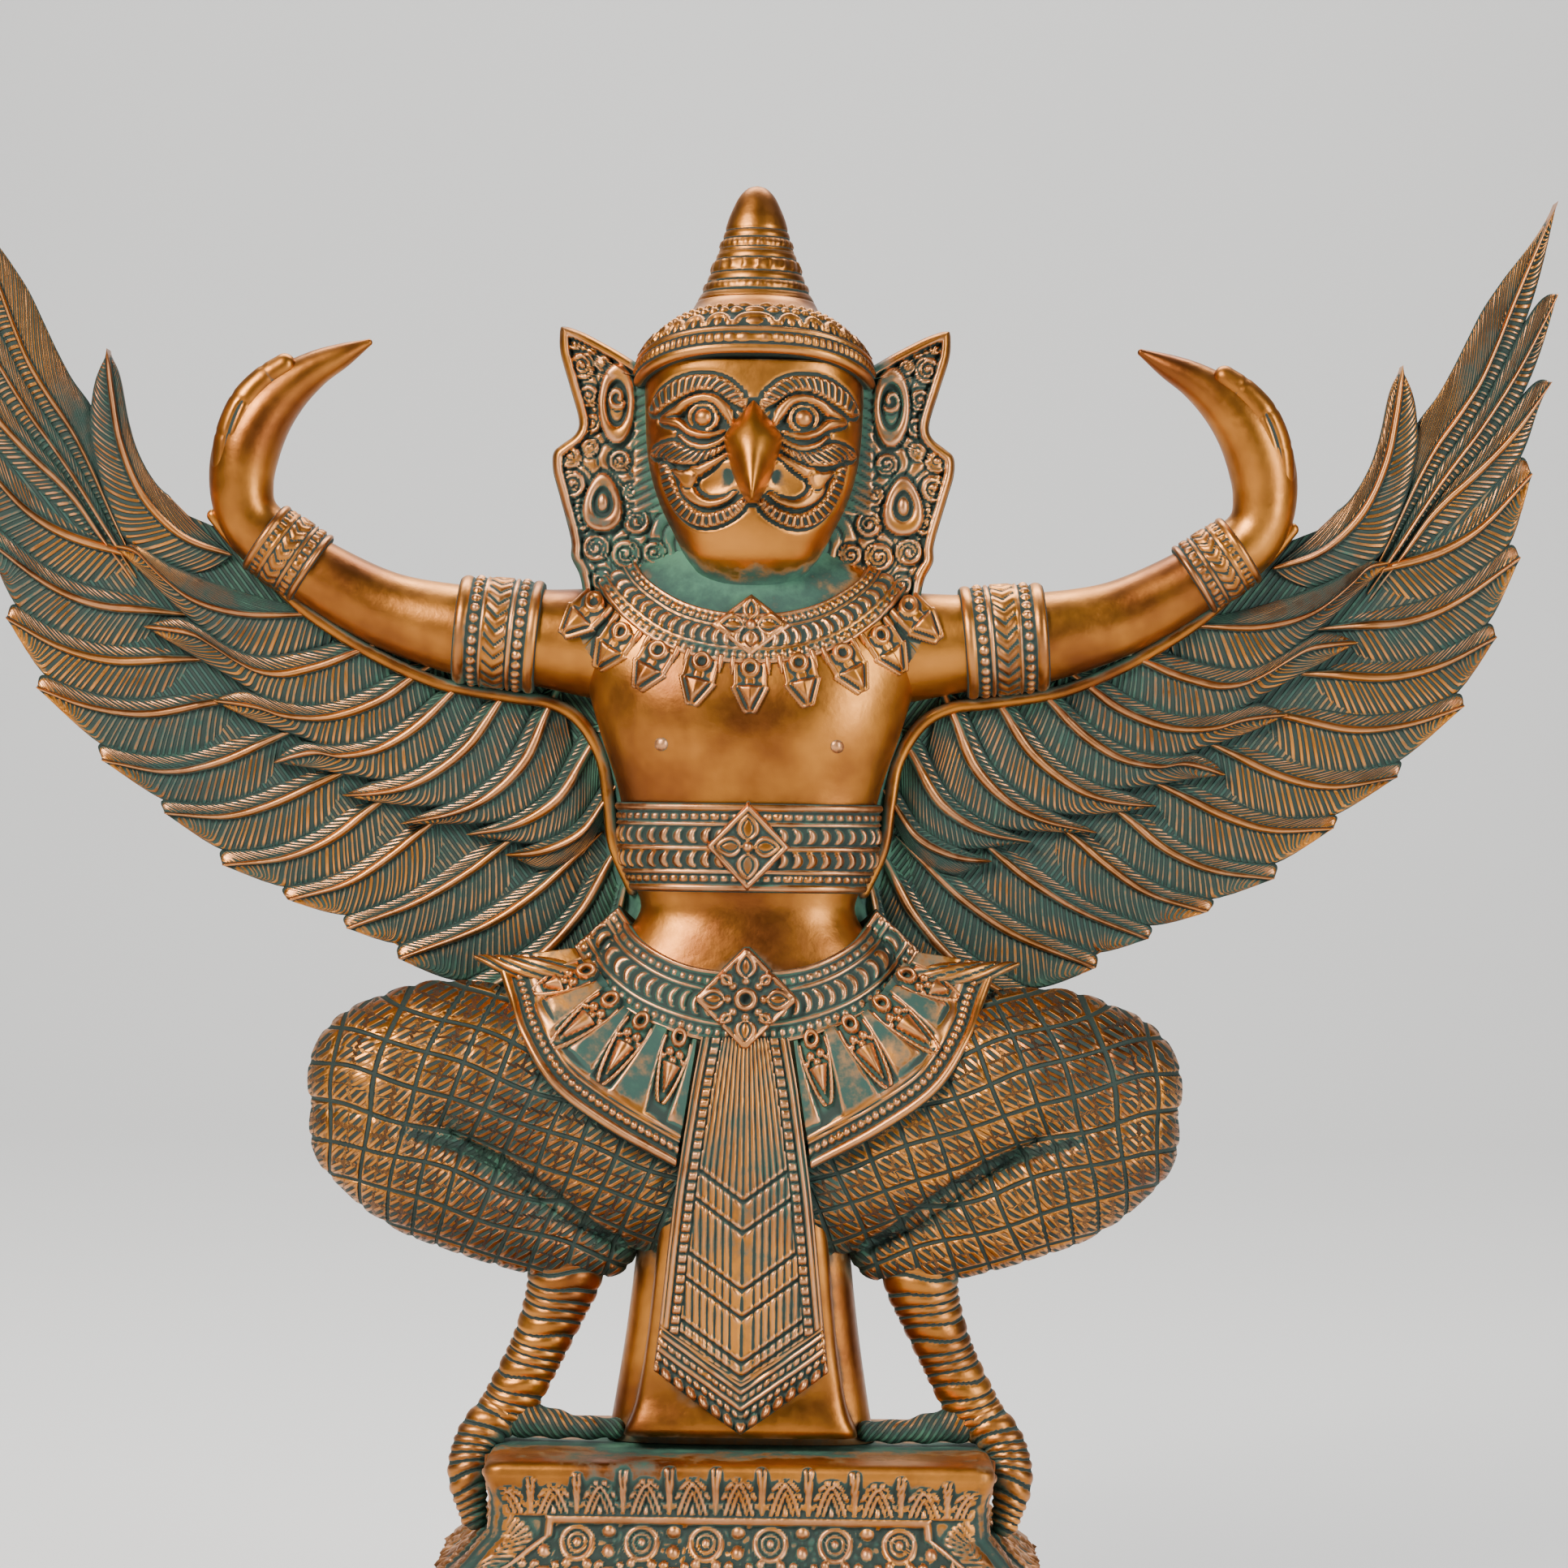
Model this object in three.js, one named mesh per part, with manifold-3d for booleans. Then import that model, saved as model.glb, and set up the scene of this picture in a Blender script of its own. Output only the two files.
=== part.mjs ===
// A cast brass garuda, squatting with raised arms and spread wings, on its plinth.
// Millimetres, +Z up, the figure faces -Y. The origin is the centre of the plinth's underside.
import * as THREE from "three";
import { mergeVertices } from "three/addons/utils/BufferGeometryUtils.js";
import Module from "manifold-3d";

// Driving dimensions
const FIGURE_HEIGHT = 308.5;
const PLINTH_HEIGHT = 70;
const PLINTH_TOP_WIDTH = 122;
const PLINTH_TOP_DEPTH = 74;
const PLINTH_FOOT_WIDTH = 164;
const PLINTH_FOOT_DEPTH = 104;
const PLINTH_CORNER_RADIUS = 4;
const TOP_MOULDING_HEIGHT = 8;
const FOOT_STEP_HEIGHT = 9;
const PETAL_BAND_HEIGHT = 12;
const PETAL_PITCH = 10.8;
const PETAL_RELIEF = 1.6;
const ROSETTE_RADIUS = 4.4;
const ROSETTE_PITCH = 15;
const ROSETTE_RELIEF = 1.8;
const PANEL_FRAME_WIDTH = 2.4;
const SEAT_GAP = 0.3;
const ANKLE_INSET = 4.5;
const TALON_RADIUS = 5.4;
const TALON_DROP = 19;

// The figure's own forms are written for a figure 315 high above a datum, and scaled with it.
// Its seat is SEAT_LEVEL above that datum.
const SEAT_LEVEL = 6.5;
const UNIT = FIGURE_HEIGHT / (315 - SEAT_LEVEL);
const SEAT = PLINTH_HEIGHT + SEAT_GAP;
const MERGE_TOLERANCE = 1e-4;
const SLIVER_VOLUME = 1;
const ACROSS = new THREE.Vector3(1, 0, 0);
const DEEP = new THREE.Vector3(0, 1, 0);

const wasm = await Module();
wasm.setup();

// A closed geometry as a solid: its shared vertices merged, with its faces turned outward.
function solid(geometry) {
  const bare = geometry.clone();
  bare.deleteAttribute("normal");
  bare.deleteAttribute("uv");
  const merged = mergeVertices(bare, MERGE_TOLERANCE);
  const place = merged.attributes.position;
  const corner = (index) => new THREE.Vector3().fromBufferAttribute(place, index);
  const faces = [];
  let volume = 0;
  for (let i = 0; i < merged.index.count; i += 3) {
    const [a, b, c] = [0, 1, 2].map((k) => merged.index.getX(i + k));
    if (a === b || b === c || c === a) continue;
    faces.push([a, b, c]);
    volume += corner(a).dot(corner(b).cross(corner(c)));
  }
  const outward = volume > 0 ? faces : faces.map(([a, b, c]) => [a, c, b]);
  return new wasm.Manifold(
    new wasm.Mesh({
      numProp: 3,
      vertProperties: Float32Array.from(place.array),
      triVerts: Uint32Array.from(outward.flat()),
    }),
  );
}

function joined(geometries) {
  const solids = geometries.map(solid);
  while (solids.length > 1) {
    solids.push(solids.shift().add(solids.shift()));
  }
  return solids[0];
}

// The casting is solid, so pockets sealed in between its forms are filled, and hair-thin slivers go.
function filled(body) {
  return body
    .decompose()
    .filter((shell) => shell.volume() > SLIVER_VOLUME)
    .reduce((whole, shell) => whole.add(shell));
}

function geometryOf(body) {
  const mesh = body.getMesh();
  const geometry = new THREE.BufferGeometry();
  geometry.setAttribute("position", new THREE.BufferAttribute(mesh.vertProperties, mesh.numProp));
  geometry.setIndex(new THREE.BufferAttribute(mesh.triVerts, 1));
  geometry.computeVertexNormals();
  return geometry;
}

// Moves every vertex of a geometry to the place that a function gives for it.
function moved(geometry, place) {
  const position = geometry.attributes.position;
  const vertex = new THREE.Vector3();
  for (let i = 0; i < position.count; i += 1) {
    place(vertex.fromBufferAttribute(position, i), i);
    position.setXYZ(i, vertex.x, vertex.y, vertex.z);
  }
  return geometry;
}

function bothSides(geometries) {
  return geometries.flatMap((geometry) => [geometry, geometry.clone().scale(-1, 1, 1)]);
}

// A rod along a curve: a turned profile whose axis is bent through stations [x, y, z, radius].
// Each end is a half ball, or runs out flat. Relief adds to the radius of ring j at side i.
function rod(stations, options = {}) {
  const { sides = 10, steps = 8, width = 1, ends = "round", side = DEEP, relief } = options;
  const line = new THREE.CatmullRomCurve3(stations.map(([x, y, z]) => new THREE.Vector3(x, y, z)));
  const girth = new THREE.SplineCurve(stations.map((station, i) => new THREE.Vector2(i, station[3])));
  const first = stations[0][3];
  const last = stations[stations.length - 1][3];
  const slope = Math.SQRT1_2;
  const profile = [];
  for (let i = 0; i <= steps; i += 1) {
    profile.push(new THREE.Vector2(girth.getPoint(i / steps).y, i / steps));
  }
  if (ends === "round") {
    profile.unshift(new THREE.Vector2(first * slope, -first * slope));
    profile.push(new THREE.Vector2(last * slope, 1 + last * slope));
  }
  const reach = ends === "round" ? 1 : 0;
  profile.unshift(new THREE.Vector2(0, -first * reach));
  profile.push(new THREE.Vector2(0, 1 + last * reach));
  const rings = profile.length;
  return moved(new THREE.LatheGeometry(profile, sides), (vertex, index) => {
    const along = THREE.MathUtils.clamp(vertex.y, 0, 1);
    const beyond = vertex.y - along;
    const tangent = line.getTangent(along);
    const wide = new THREE.Vector3().crossVectors(side, tangent).normalize();
    const deep = new THREE.Vector3().crossVectors(tangent, wide);
    const radius = Math.hypot(vertex.x, vertex.z);
    const extra = relief && radius > 0 ? relief(Math.floor(index / rings) % sides, index % rings) : 0;
    const swell = radius > 0 ? (radius + extra) / radius : 1;
    const [offWide, offDeep] = [vertex.z * width * swell, vertex.x * swell];
    vertex.copy(line.getPoint(along)).addScaledVector(tangent, beyond);
    vertex.addScaledVector(wide, offWide).addScaledVector(deep, offDeep);
  });
}

const NEARLY_ZERO = 1e-9;
const signedPower = (value, power) =>
  Math.abs(value) < NEARLY_ZERO ? 0 : Math.sign(value) * Math.abs(value) ** power;

// A closed form through level rings [z, half width, front y, back y], each a rounded oval.
function loft(levels, options = {}) {
  const { sides = 12, power = 2.4, relief } = options;
  const profile = levels.map((level, i) => new THREE.Vector2(1, i));
  profile.unshift(new THREE.Vector2(0, 0));
  profile.push(new THREE.Vector2(0, levels.length - 1));
  return moved(new THREE.LatheGeometry(profile, sides), (vertex, index) => {
    const ring = Math.round(vertex.y);
    const [z, half, front, back] = levels[ring];
    const extra = relief ? relief(Math.floor(index / profile.length) % sides, ring) : 0;
    const x = signedPower(vertex.x, 2 / power) * (half + extra);
    const y = signedPower(vertex.z, 2 / power) * ((back - front) / 2 + extra);
    vertex.set(x, (front + back) / 2 + y, z);
  });
}

// The front surface of a loft at x and z, lifted off it by a little.
function onFront(levels, x, z, lift = 0, power = 2.4) {
  const above = Math.max(1, levels.findIndex((level) => level[0] >= z));
  const [low, high] = [levels[above - 1], levels[above]];
  const share = (z - low[0]) / (high[0] - low[0]);
  const [, half, front, back] = low.map((value, i) => value + (high[i] - value) * share);
  const across = Math.min(1, Math.abs(x) / half);
  const bulge = (1 - across ** power) ** (1 / power);
  return [x, (front + back) / 2 - (bulge * (back - front)) / 2 - lift, z];
}

// A flat plate from y = front to y = back, whose outline is in x and z.
function plate(outline, front, back) {
  const shape = new THREE.Shape(outline.map(([x, z]) => new THREE.Vector2(x, z)));
  const geometry = new THREE.ExtrudeGeometry(shape, { depth: back - front, bevelEnabled: false });
  return moved(geometry, (vertex) => vertex.set(vertex.x, front + vertex.z, vertex.y));
}

function ball(x, y, z, radius) {
  return new THREE.SphereGeometry(radius, 6, 3).rotateX(Math.PI / 2).translate(x, y, z);
}

// A ring of oval outline that lies in the plane of x and z: a carved loop.
function loop(x, y, z, halfWidth, halfHeight, thick) {
  const ring = new THREE.TorusGeometry(1, thick / Math.min(halfWidth, halfHeight), 3, 7);
  ring.scale(halfWidth, halfHeight, Math.min(halfWidth, halfHeight));
  return ring.rotateX(Math.PI / 2).translate(x, y, z);
}

// A flower medallion of lobed outline with a boss.
function medallion(x, z, radius, front, back, lobes = 8) {
  const outline = [];
  for (let i = 0; i < lobes * 2; i += 1) {
    const angle = (i / lobes) * Math.PI;
    const reach = i % 2 ? radius * 0.74 : radius;
    outline.push([x + reach * Math.sin(angle), z + reach * Math.cos(angle)]);
  }
  return [plate(outline, front, back), ball(x, front, z, radius * 0.4)];
}

// Torso and hips
const TORSO = [
  [78, 22, -20, 18],
  [84, 36, -24, 20],
  [96, 45, -26, 20],
  [108, 45, -25, 18],
  [118, 40, -23, 17],
  [128, 32, -21, 15],
  [136, 26.5, -19.5, 14],
  [150, 30.5, -20.5, 15],
  [163.5, 31.5, -20.5, 15],
  [180, 36.5, -23, 17],
  [195, 41, -22, 18],
  [208, 44, -18, 17],
  [218, 36, -13, 14],
  [226, 20, -10, 11],
];
const BELT_RELIEF = 2.2;
const onTorso = (x, z, lift) => onFront(TORSO, x, z, lift);
const torsoLevel = (z, swell) => {
  const [, front] = onTorso(0, z, swell);
  const above = TORSO.findIndex((level) => level[0] >= z);
  const [low, high] = [TORSO[above - 1], TORSO[above]];
  const share = (z - low[0]) / (high[0] - low[0]);
  return [z, low[1] + (high[1] - low[1]) * share + swell, front, low[3] + (high[3] - low[3]) * share + swell];
};

function torso() {
  const diamond = [[0, 142.2], [9.8, 152.6], [0, 163], [-9.8, 152.6]];
  return [
    loft(TORSO),
    torsoBand(141.5, 163, BELT_RELIEF),
    plate(diamond, -25, -16),
    ...medallion(0, 152.6, 5.6, -26.2, -20, 4),
  ];
}

// A band round the waist, hollowed between its two cords.
function torsoBand(low, high, swell) {
  const levels = [low, low + 4, high - 4, high].map((z) => torsoLevel(z, swell));
  return loft(levels, { relief: (side, ring) => (ring % 3 ? -0.8 : 0) });
}

const chain = (points, radius, place) => points.map(([x, z]) => [...place(x, z, radius * 0.3), radius]);

function necklace() {
  const outer = [[-41, 212], [-32, 204], [-22, 199.5], [-11, 197], [0, 196.5], [11, 197], [22, 199.5],
    [32, 204], [41, 212]];
  const drops = outer.map(([x, z]) => {
    const [, y] = onTorso(x, z - 3, 0.4);
    return rod([[x, y, z - 1, 2.5], [x * 1.12, y - 0.4, z - 8.5, 0.7]], { sides: 4, steps: 1, ends: "flat" });
  });
  return [
    rod(chain(outer, 2.2, onTorso), { sides: 4, steps: 6, ends: "flat", width: 1.6 }),
    ...drops,
    ...medallion(0, 206.6, 8.4, -23, -12, 4),
  ];
}

// The jewelled girdle with its pendants, and the cloth below it with its corded hem
const GIRDLE = [[41.6, 127], [35, 118], [26, 111.5], [11.6, 106]].map(([x, z]) => onTorso(x, z, 0));
const HEM = [[57.4, -16, 121.5], [53.2, -27, 105], [42, -30.5, 91.5], [16.4, -26, 75.5]];
const CLOTH_DEPTH = 9;

// The cloth's surface at a share along the girdle and a share down to the hem
function onCloth(along, down, lift = 0) {
  const at = (points) => {
    const place = along * (points.length - 1);
    const start = Math.min(points.length - 2, Math.floor(place));
    return points[start].map((value, i) => value + (points[start + 1][i] - value) * (place - start));
  };
  const [upper, lower] = [at(GIRDLE), at(HEM)];
  const [x, y, z] = upper.map((value, i) => value + (lower[i] - value) * down);
  return [x, y - 5 * down * (1 - down) - lift, z];
}

function girdle() {
  const cord = { sides: 4, ends: "flat" };
  const cloth = moved(new THREE.BoxGeometry(1, 1, 1, 3, 1, 1), (vertex) => {
    const [x, y, z] = onCloth(vertex.x + 0.5, vertex.y + 0.5);
    vertex.set(x, y + (vertex.z > 0 ? CLOTH_DEPTH : 0), z);
  });
  const pendants = [0.12, 0.5, 0.88].map((along) =>
    rod([[...onCloth(along, 0.1, 0.6), 2.7], [...onCloth(along, 0.62, 0.2), 0.6]], { ...cord, steps: 1 }));
  return [
    ...bothSides([
      cloth,
      rod(GIRDLE.map((point) => [...point, 2.6]), { ...cord, steps: 3, width: 1.6 }),
      rod(HEM.map((point) => [...point, 2.6]), { ...cord, steps: 4 }),
      ...pendants,
    ]),
    ...medallion(0, 113, 11.2, -28.5, -18),
  ];
}

// The long front cloth, pleated into chevrons, on the flared slab and the pillar behind it
// Levels [z, half width, front y]; the two lowest run down to the point
const APRON = [[107, 9.3, -27.5], [96, 11, -28.4], [88, 12.4, -28.8], [76, 14.4, -29], [68, 15.6, -28.4],
  [57, 17.2, -27.2], [49, 18.2, -26], [39, 19.6, -24.5], [31, 20.6, -23.6], [24, 21.4, -22.5]];
const APRON_BACK = -8;
const APRON_POINT = 16;
const PLEAT_RELIEF = 1.3;

function apron() {
  const box = { sides: 8, power: 8 };
  const slab = [[9.7, 28.3, -20, -4], [20, 25, -19, -4], [35, 22.8, -19.5, -4], [66, 19, -22, -4]];
  const pillar = [[3, 33.5, -10, 18], [14, 31.5, -9.5, 17.5], [62, 25.5, -12, 16], [88, 24, -14, 16]];
  const rows = APRON.length - 1;
  const cloth = moved(new THREE.BoxGeometry(2, rows, 1, 4, rows, 1), (vertex) => {
    const row = Math.round(rows / 2 - vertex.y);
    const [z, half, front] = APRON[row];
    const inward = 1 - Math.abs(vertex.x);
    const dip = (APRON_POINT * row) / rows;
    const relief = inward === 0.5 ? -PLEAT_RELIEF : (row % 2) * PLEAT_RELIEF;
    vertex.set(vertex.x * half, vertex.z < 0 ? front - relief : APRON_BACK, z - dip * inward);
  });
  return [cloth, loft(slab, box), loft(pillar, { sides: 12, power: 4 })];
}

// Head, with its beak, ball eyes, hatched brows and cheek scrolls
const HEAD = [
  [214, 12, -12, 12],
  [220, 14, -17, 14],
  [228, 21.5, -25, 20],
  [240, 25.5, -26.5, 24],
  [254, 27, -26.5, 26],
  [272, 27, -25.5, 26],
];
const onHead = (x, z, lift) => onFront(HEAD, x, z, lift, 2.2);

function head() {
  const beak = [[0, -23, 262.5, 1.6], [0, -27.5, 257.5, 5.2], [0, -31.5, 251.5, 7], [0, -36, 244, 5.2],
    [0, -38.2, 238, 1.6]];
  const brow = [[1.5, 261.5], [6, 267.6], [13, 270.5], [25, 261.5]];
  const lid = [[4.6, 256.4], [8.6, 261.6], [17, 262.4], [23.6, 257], [16.5, 252.6], [9, 252]];
  const moustache = [[25.3, 246], [18, 232], [11, 229.5], [3.5, 232.5]];
  const cord = { sides: 4, ends: "flat" };
  const [, lidFront] = onHead(13.2, 257.6, 1.2);
  const side = [
    rod(chain(brow, 2.3, onHead), { ...cord, steps: 3 }),
    plate(lid, lidFront, lidFront + 6),
    rod(chain(moustache, 2.1, onHead), { ...cord, steps: 3 }),
    ball(13.2, lidFront, 257.6, 2.8),
  ];
  return [
    loft(HEAD, { power: 2.2, sides: 10 }),
    rod(beak, { sides: 6, steps: 4, side: ACROSS, ends: "flat" }),
    ...bothSides(side),
  ];
}

// Crown: a banded rim that rises over the brow, a cap and a ringed cone
function crown() {
  const turned = [[0, 268], [27, 268], [27.6, 276], [20, 284], [14, 288.5], [13, 292], [11.2, 294.6],
    [10.8, 298], [9.3, 301], [8.6, 305], [6.4, 309.6], [3.4, 313.8], [0, 315]];
  const band = [[24, 266], [28.8, 266], [29.6, 270.6], [28.6, 275.4], [24, 275.6], [24, 266]];
  const spin = (outline, sides) =>
    new THREE.LatheGeometry(outline.map(([r, z]) => new THREE.Vector2(r, z)), sides).rotateX(Math.PI / 2);
  const rise = (y) => 8.5 * Math.max(0, -y / 29) ** 2;
  const rim = moved(spin(band, 14), (vertex) => vertex.setZ(vertex.z + rise(vertex.y)));
  const arches = [];
  for (let i = -3; i <= 3; i += 1) {
    const angle = (i * Math.PI) / 9;
    const [x, y] = [27.6 * Math.sin(angle), -27.6 * Math.cos(angle)];
    arches.push(new THREE.OctahedronGeometry(3.4).rotateZ(angle).translate(x, y, 276 + rise(y)));
  }
  return [spin(turned, 12), rim, ...arches];
}

// Ear ornaments: a leaf-shaped plate each side of the head, carved with scrolls
const EAR_FRONT = -7;
const EAR_BACK = 2;

function ears() {
  const outline = [[22, 268], [31, 272.5], [36.5, 276], [42, 278.6], [47.6, 279.2], [48.4, 276],
    [47, 268], [44.5, 259], [43.2, 253.5], [46.6, 250.5], [49, 246.5], [49, 240], [47.6, 234],
    [45.6, 228], [43.6, 221.5], [41.5, 213], [20, 211], [20, 235]];
  const front = EAR_FRONT - 0.2;
  const scrolls = [
    loop(33.2, front, 261.6, 3.8, 7.4, 1.5),
    loop(38, front, 237, 5, 8, 1.7),
  ];
  return bothSides([plate(outline, EAR_FRONT, EAR_BACK), ...scrolls]);
}

// Arms with their armbands and wristbands, which run out into free claw-like hands
function arms() {
  const arm = [[30, 1, 202, 14], [51.5, -1, 203, 11.6], [52.5, -1, 203, 14.3], [57, -1, 203.4, 13.4],
    [62, -1, 204, 14.6], [67.5, -1, 204.3, 13.4], [71.8, -1, 204.8, 14.3], [72.8, -1, 205, 10.6],
    [90, -1, 209.5, 9.4], [107, -2, 218.2, 8.3], [108, -2, 218.8, 9.6], [120, -2.8, 227, 9.2],
    [121, -2.9, 227.8, 7.4], [127, -3.6, 237, 7.3], [128.3, -4.4, 248, 7.1], [124.6, -5.4, 258.4, 6.5],
    [114.5, -6, 267, 4.7], [104.5, -6, 271.3, 3], [95.3, -6, 273.6, 1]];
  const finger = [[131.4, -6, 241, 3], [130.4, -7.4, 254, 3.3], [122.5, -8, 265, 3],
    [115.5, -7.5, 270.2, 2.4]];
  return bothSides([
    rod(arm, { sides: 8, steps: arm.length - 1, ends: "flat" }),
    rod(finger, { sides: 4, steps: 3, ends: "flat" }),
  ]);
}

// Wings: two overlapping sheets of feathers, swept a little forward, and a corded border by the arm
const WING_FRONT = 3;
const WING_BACK = 7.4;
const COVERT_FRONT = 0.8;
const COVERT_BACK = 5;
const SHAFT_RIDGE = 1.6;
const FEATHER_STEPS = 2;
const WING_SWEEP = 9;
const WING_ROOT = 30;
const WING_SPAN = 196;
const EDGE_SHARE = 0.2;

const sweptForward = (geometry) =>
  moved(geometry, (vertex) => {
    const out = Math.max(0, vertex.x - WING_ROOT) / (WING_SPAN - WING_ROOT);
    vertex.y -= WING_SWEEP * out ** 2;
  });

// A sheet of feathers side by side, each [root, tip] with a sagging, ridged shaft.
// The dips between shafts end short of the tips, so that the edge is scalloped.
function fan(feathers, { sags, front, back, scallop, lead }) {
  const shafts = feathers.map(([[x, z], [tipX, tipZ]], i) => {
    const [dx, dz] = [tipX - x, tipZ - z];
    const sag = sags[0] + ((sags[1] - sags[0]) * i) / (feathers.length - 1);
    const bend = new THREE.Vector2(x + dx / 2 + dz * sag, z + dz / 2 - dx * sag);
    return new THREE.QuadraticBezierCurve(new THREE.Vector2(x, z), bend, new THREE.Vector2(tipX, tipZ));
  });
  const lanes = feathers.length * 2;
  const onLane = (lane, along) => {
    const reach = along * (1 - scallop * ((lane + 1) % 2)) - lead * (1 - along);
    if (lane % 2) return shafts[(lane - 1) / 2].getPoint(reach);
    const right = Math.min(lane / 2, shafts.length - 1);
    const left = Math.max(lane / 2 - 1, 0);
    if (left !== right) return shafts[left].getPoint(reach).lerp(shafts[right].getPoint(reach), 0.5);
    const inner = shafts[left === 0 ? 1 : left - 1].getPoint(reach);
    return shafts[left].getPoint(reach).lerp(inner, -EDGE_SHARE);
  };
  return moved(new THREE.BoxGeometry(1, 1, 1, lanes, FEATHER_STEPS, 1), (vertex) => {
    const lane = Math.round((vertex.x + 0.5) * lanes);
    const along = vertex.y + 0.5;
    const swell = (lane % 2 ? SHAFT_RIDGE : 0) * (1 - 0.5 * along ** 3);
    const { x, y: z } = onLane(lane, along);
    vertex.set(x, vertex.z < 0 ? front - swell : back + swell, z);
  });
}

function wings() {
  const primaries = [
    [[131, 233], [195.8, 312.6]],
    [[129.5, 229.5], [196.4, 288]],
    [[126.5, 225.5], [192, 252]],
    [[122, 221], [188, 227]],
    [[116.5, 216], [184.5, 207]],
    [[110, 210.5], [176.5, 189]],
    [[102, 205], [161, 171.5]],
    [[92.5, 199.5], [145, 159]],
    [[82, 195], [130, 146]],
    [[70.5, 191], [112.6, 136]],
    [[57, 192], [90, 122]],
    [[38, 193], [70, 106]],
    [[18, 186], [40, 100]],
  ];
  const coverts = [
    [[132, 226], [160, 271]],
    [[124, 217.5], [160, 228]],
    [[111, 207.5], [148, 205]],
    [[97, 200], [133, 187]],
    [[85, 195], [115.6, 173.6]],
    [[74, 191], [100, 164.4]],
    [[63, 188.5], [86, 157]],
    [[50, 190], [71, 151]],
    [[32, 190], [52, 146]],
  ];
  const border = [[30.8, 142.6], [33.2, 156], [34.4, 172], [40.2, 183.4], [50, 188.4], [72, 193],
    [84, 197], [100, 207], [113.6, 217], [129.4, 233]];
  const ridge = border.map(([x, z]) => [x, WING_FRONT - 3.4, z, 2.8]);
  const long = { front: WING_FRONT, back: WING_BACK, sags: [0.2, 0.06], scallop: 0.1, lead: 0 };
  const short = { front: COVERT_FRONT, back: COVERT_BACK, sags: [0.2, 0.12], scallop: 0.14, lead: 0.1 };
  return bothSides([
    fan(primaries, long),
    fan(coverts, short),
    rod(ridge, { sides: 4, steps: 7, ends: "flat" }),
  ].map(sweptForward));
}

// Legs: thighs and calves with a raised lattice, ringed shanks
const LATTICE = 0.9;
const lattice = (i, j) => ((i + j) % 2 ? LATTICE : -LATTICE * 0.3);

function legs() {
  const thigh = [[22, -4, 78, 18], [42, -7, 88, 21], [60, -10, 97, 22.6], [74, -13, 99.6, 20.6],
    [87.4, -17, 97, 19.8]];
  const calf = [[87.4, -16, 82, 17.8], [70, -12, 70.5, 14.8], [55, -8, 60.5, 12], [43, -6, 53.5, 9.4]];
  return bothSides([
    rod(thigh, { sides: 12, steps: 4, relief: lattice }),
    rod(calf, { sides: 10, steps: 3, relief: lattice }),
  ]);
}

// The shanks and toes reach from the calves to the plinth, so they are given in real places.
const real = ([x, y, z, radius]) => [x * UNIT, y * UNIT, SEAT + (z - SEAT_LEVEL) * UNIT, radius * UNIT];
const PLINTH_SIDE = PLINTH_TOP_WIDTH / 2;
const ANKLE_X = PLINTH_SIDE - ANKLE_INSET;

function feet() {
  const ankle = [ANKLE_X, -5 * UNIT, SEAT + 8 * UNIT, 7.2 * UNIT];
  const shank = [real([41.5, -5.5, 52, 9.2]), real([45.5, -5.2, 40, 8.2]), real([50.5, -5, 27, 6.9]), ankle];
  const hang = PLINTH_SIDE + TALON_RADIUS;
  const outer = [ankle, [hang - 2.5, -8, SEAT, TALON_RADIUS], [hang + 0.6, -10, SEAT - TALON_DROP * 0.5,
    TALON_RADIUS], [hang, -11, SEAT - TALON_DROP + 3, TALON_RADIUS * 0.72]];
  const inner = [ankle, [ANKLE_X - 12, -7, SEAT + 4.4, 4.8], [ANKLE_X - 22, -8, SEAT + 2.6, 3.6]];
  const notched = { sides: 6, relief: (i, j) => (j % 2 ? 0.4 : -0.4) };
  return bothSides([
    rod(shank, { ...notched, sides: 8, steps: 5, ends: "flat" }),
    rod(outer, { ...notched, steps: 4, ends: "flat" }),
    rod(inner, { ...notched, sides: 5, steps: 3, ends: "flat" }),
  ]);
}

// Plinth: levels as [z, half width, half depth] from the foot up, with rounded corners
const TOP = [PLINTH_TOP_WIDTH / 2, PLINTH_TOP_DEPTH / 2];
const FOOT = [PLINTH_FOOT_WIDTH / 2, PLINTH_FOOT_DEPTH / 2];
const between = (share) => TOP.map((value, i) => value + (FOOT[i] - value) * share);
const DIE_TOP = PLINTH_HEIGHT - TOP_MOULDING_HEIGHT;
const BODY_INSET = PETAL_RELIEF + 0.6;
const FLARE_TOP = PLINTH_HEIGHT - 18;
const FLARE_FOOT = PLINTH_HEIGHT - 31;
const PETAL_FOOT = DIE_TOP - PETAL_BAND_HEIGHT * 0.3;

function plinthLevels() {
  const die = TOP.map((value) => value - BODY_INSET);
  const waist = between(0.66).map((value) => value - 1);
  const base = between(0.78);
  return [
    [0, ...FOOT],
    [FOOT_STEP_HEIGHT - 1, ...FOOT],
    [FOOT_STEP_HEIGHT, ...FOOT.map((value) => value - 1)],
    [FOOT_STEP_HEIGHT, ...base],
    [FOOT_STEP_HEIGHT + PETAL_BAND_HEIGHT, ...waist],
    [FLARE_FOOT, ...between(0.62)],
    [(FLARE_TOP + FLARE_FOOT) / 2, ...between(0.2)],
    [FLARE_TOP, ...die],
    [DIE_TOP, ...die],
    [DIE_TOP, ...TOP.map((value) => value - 1.2)],
    [DIE_TOP + 1.6, ...TOP],
    [PLINTH_HEIGHT - 3, ...TOP],
    [PLINTH_HEIGHT - 0.8, ...TOP.map((value) => value - 1)],
    [PLINTH_HEIGHT, ...TOP.map((value) => value - 3)],
  ];
}

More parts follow.
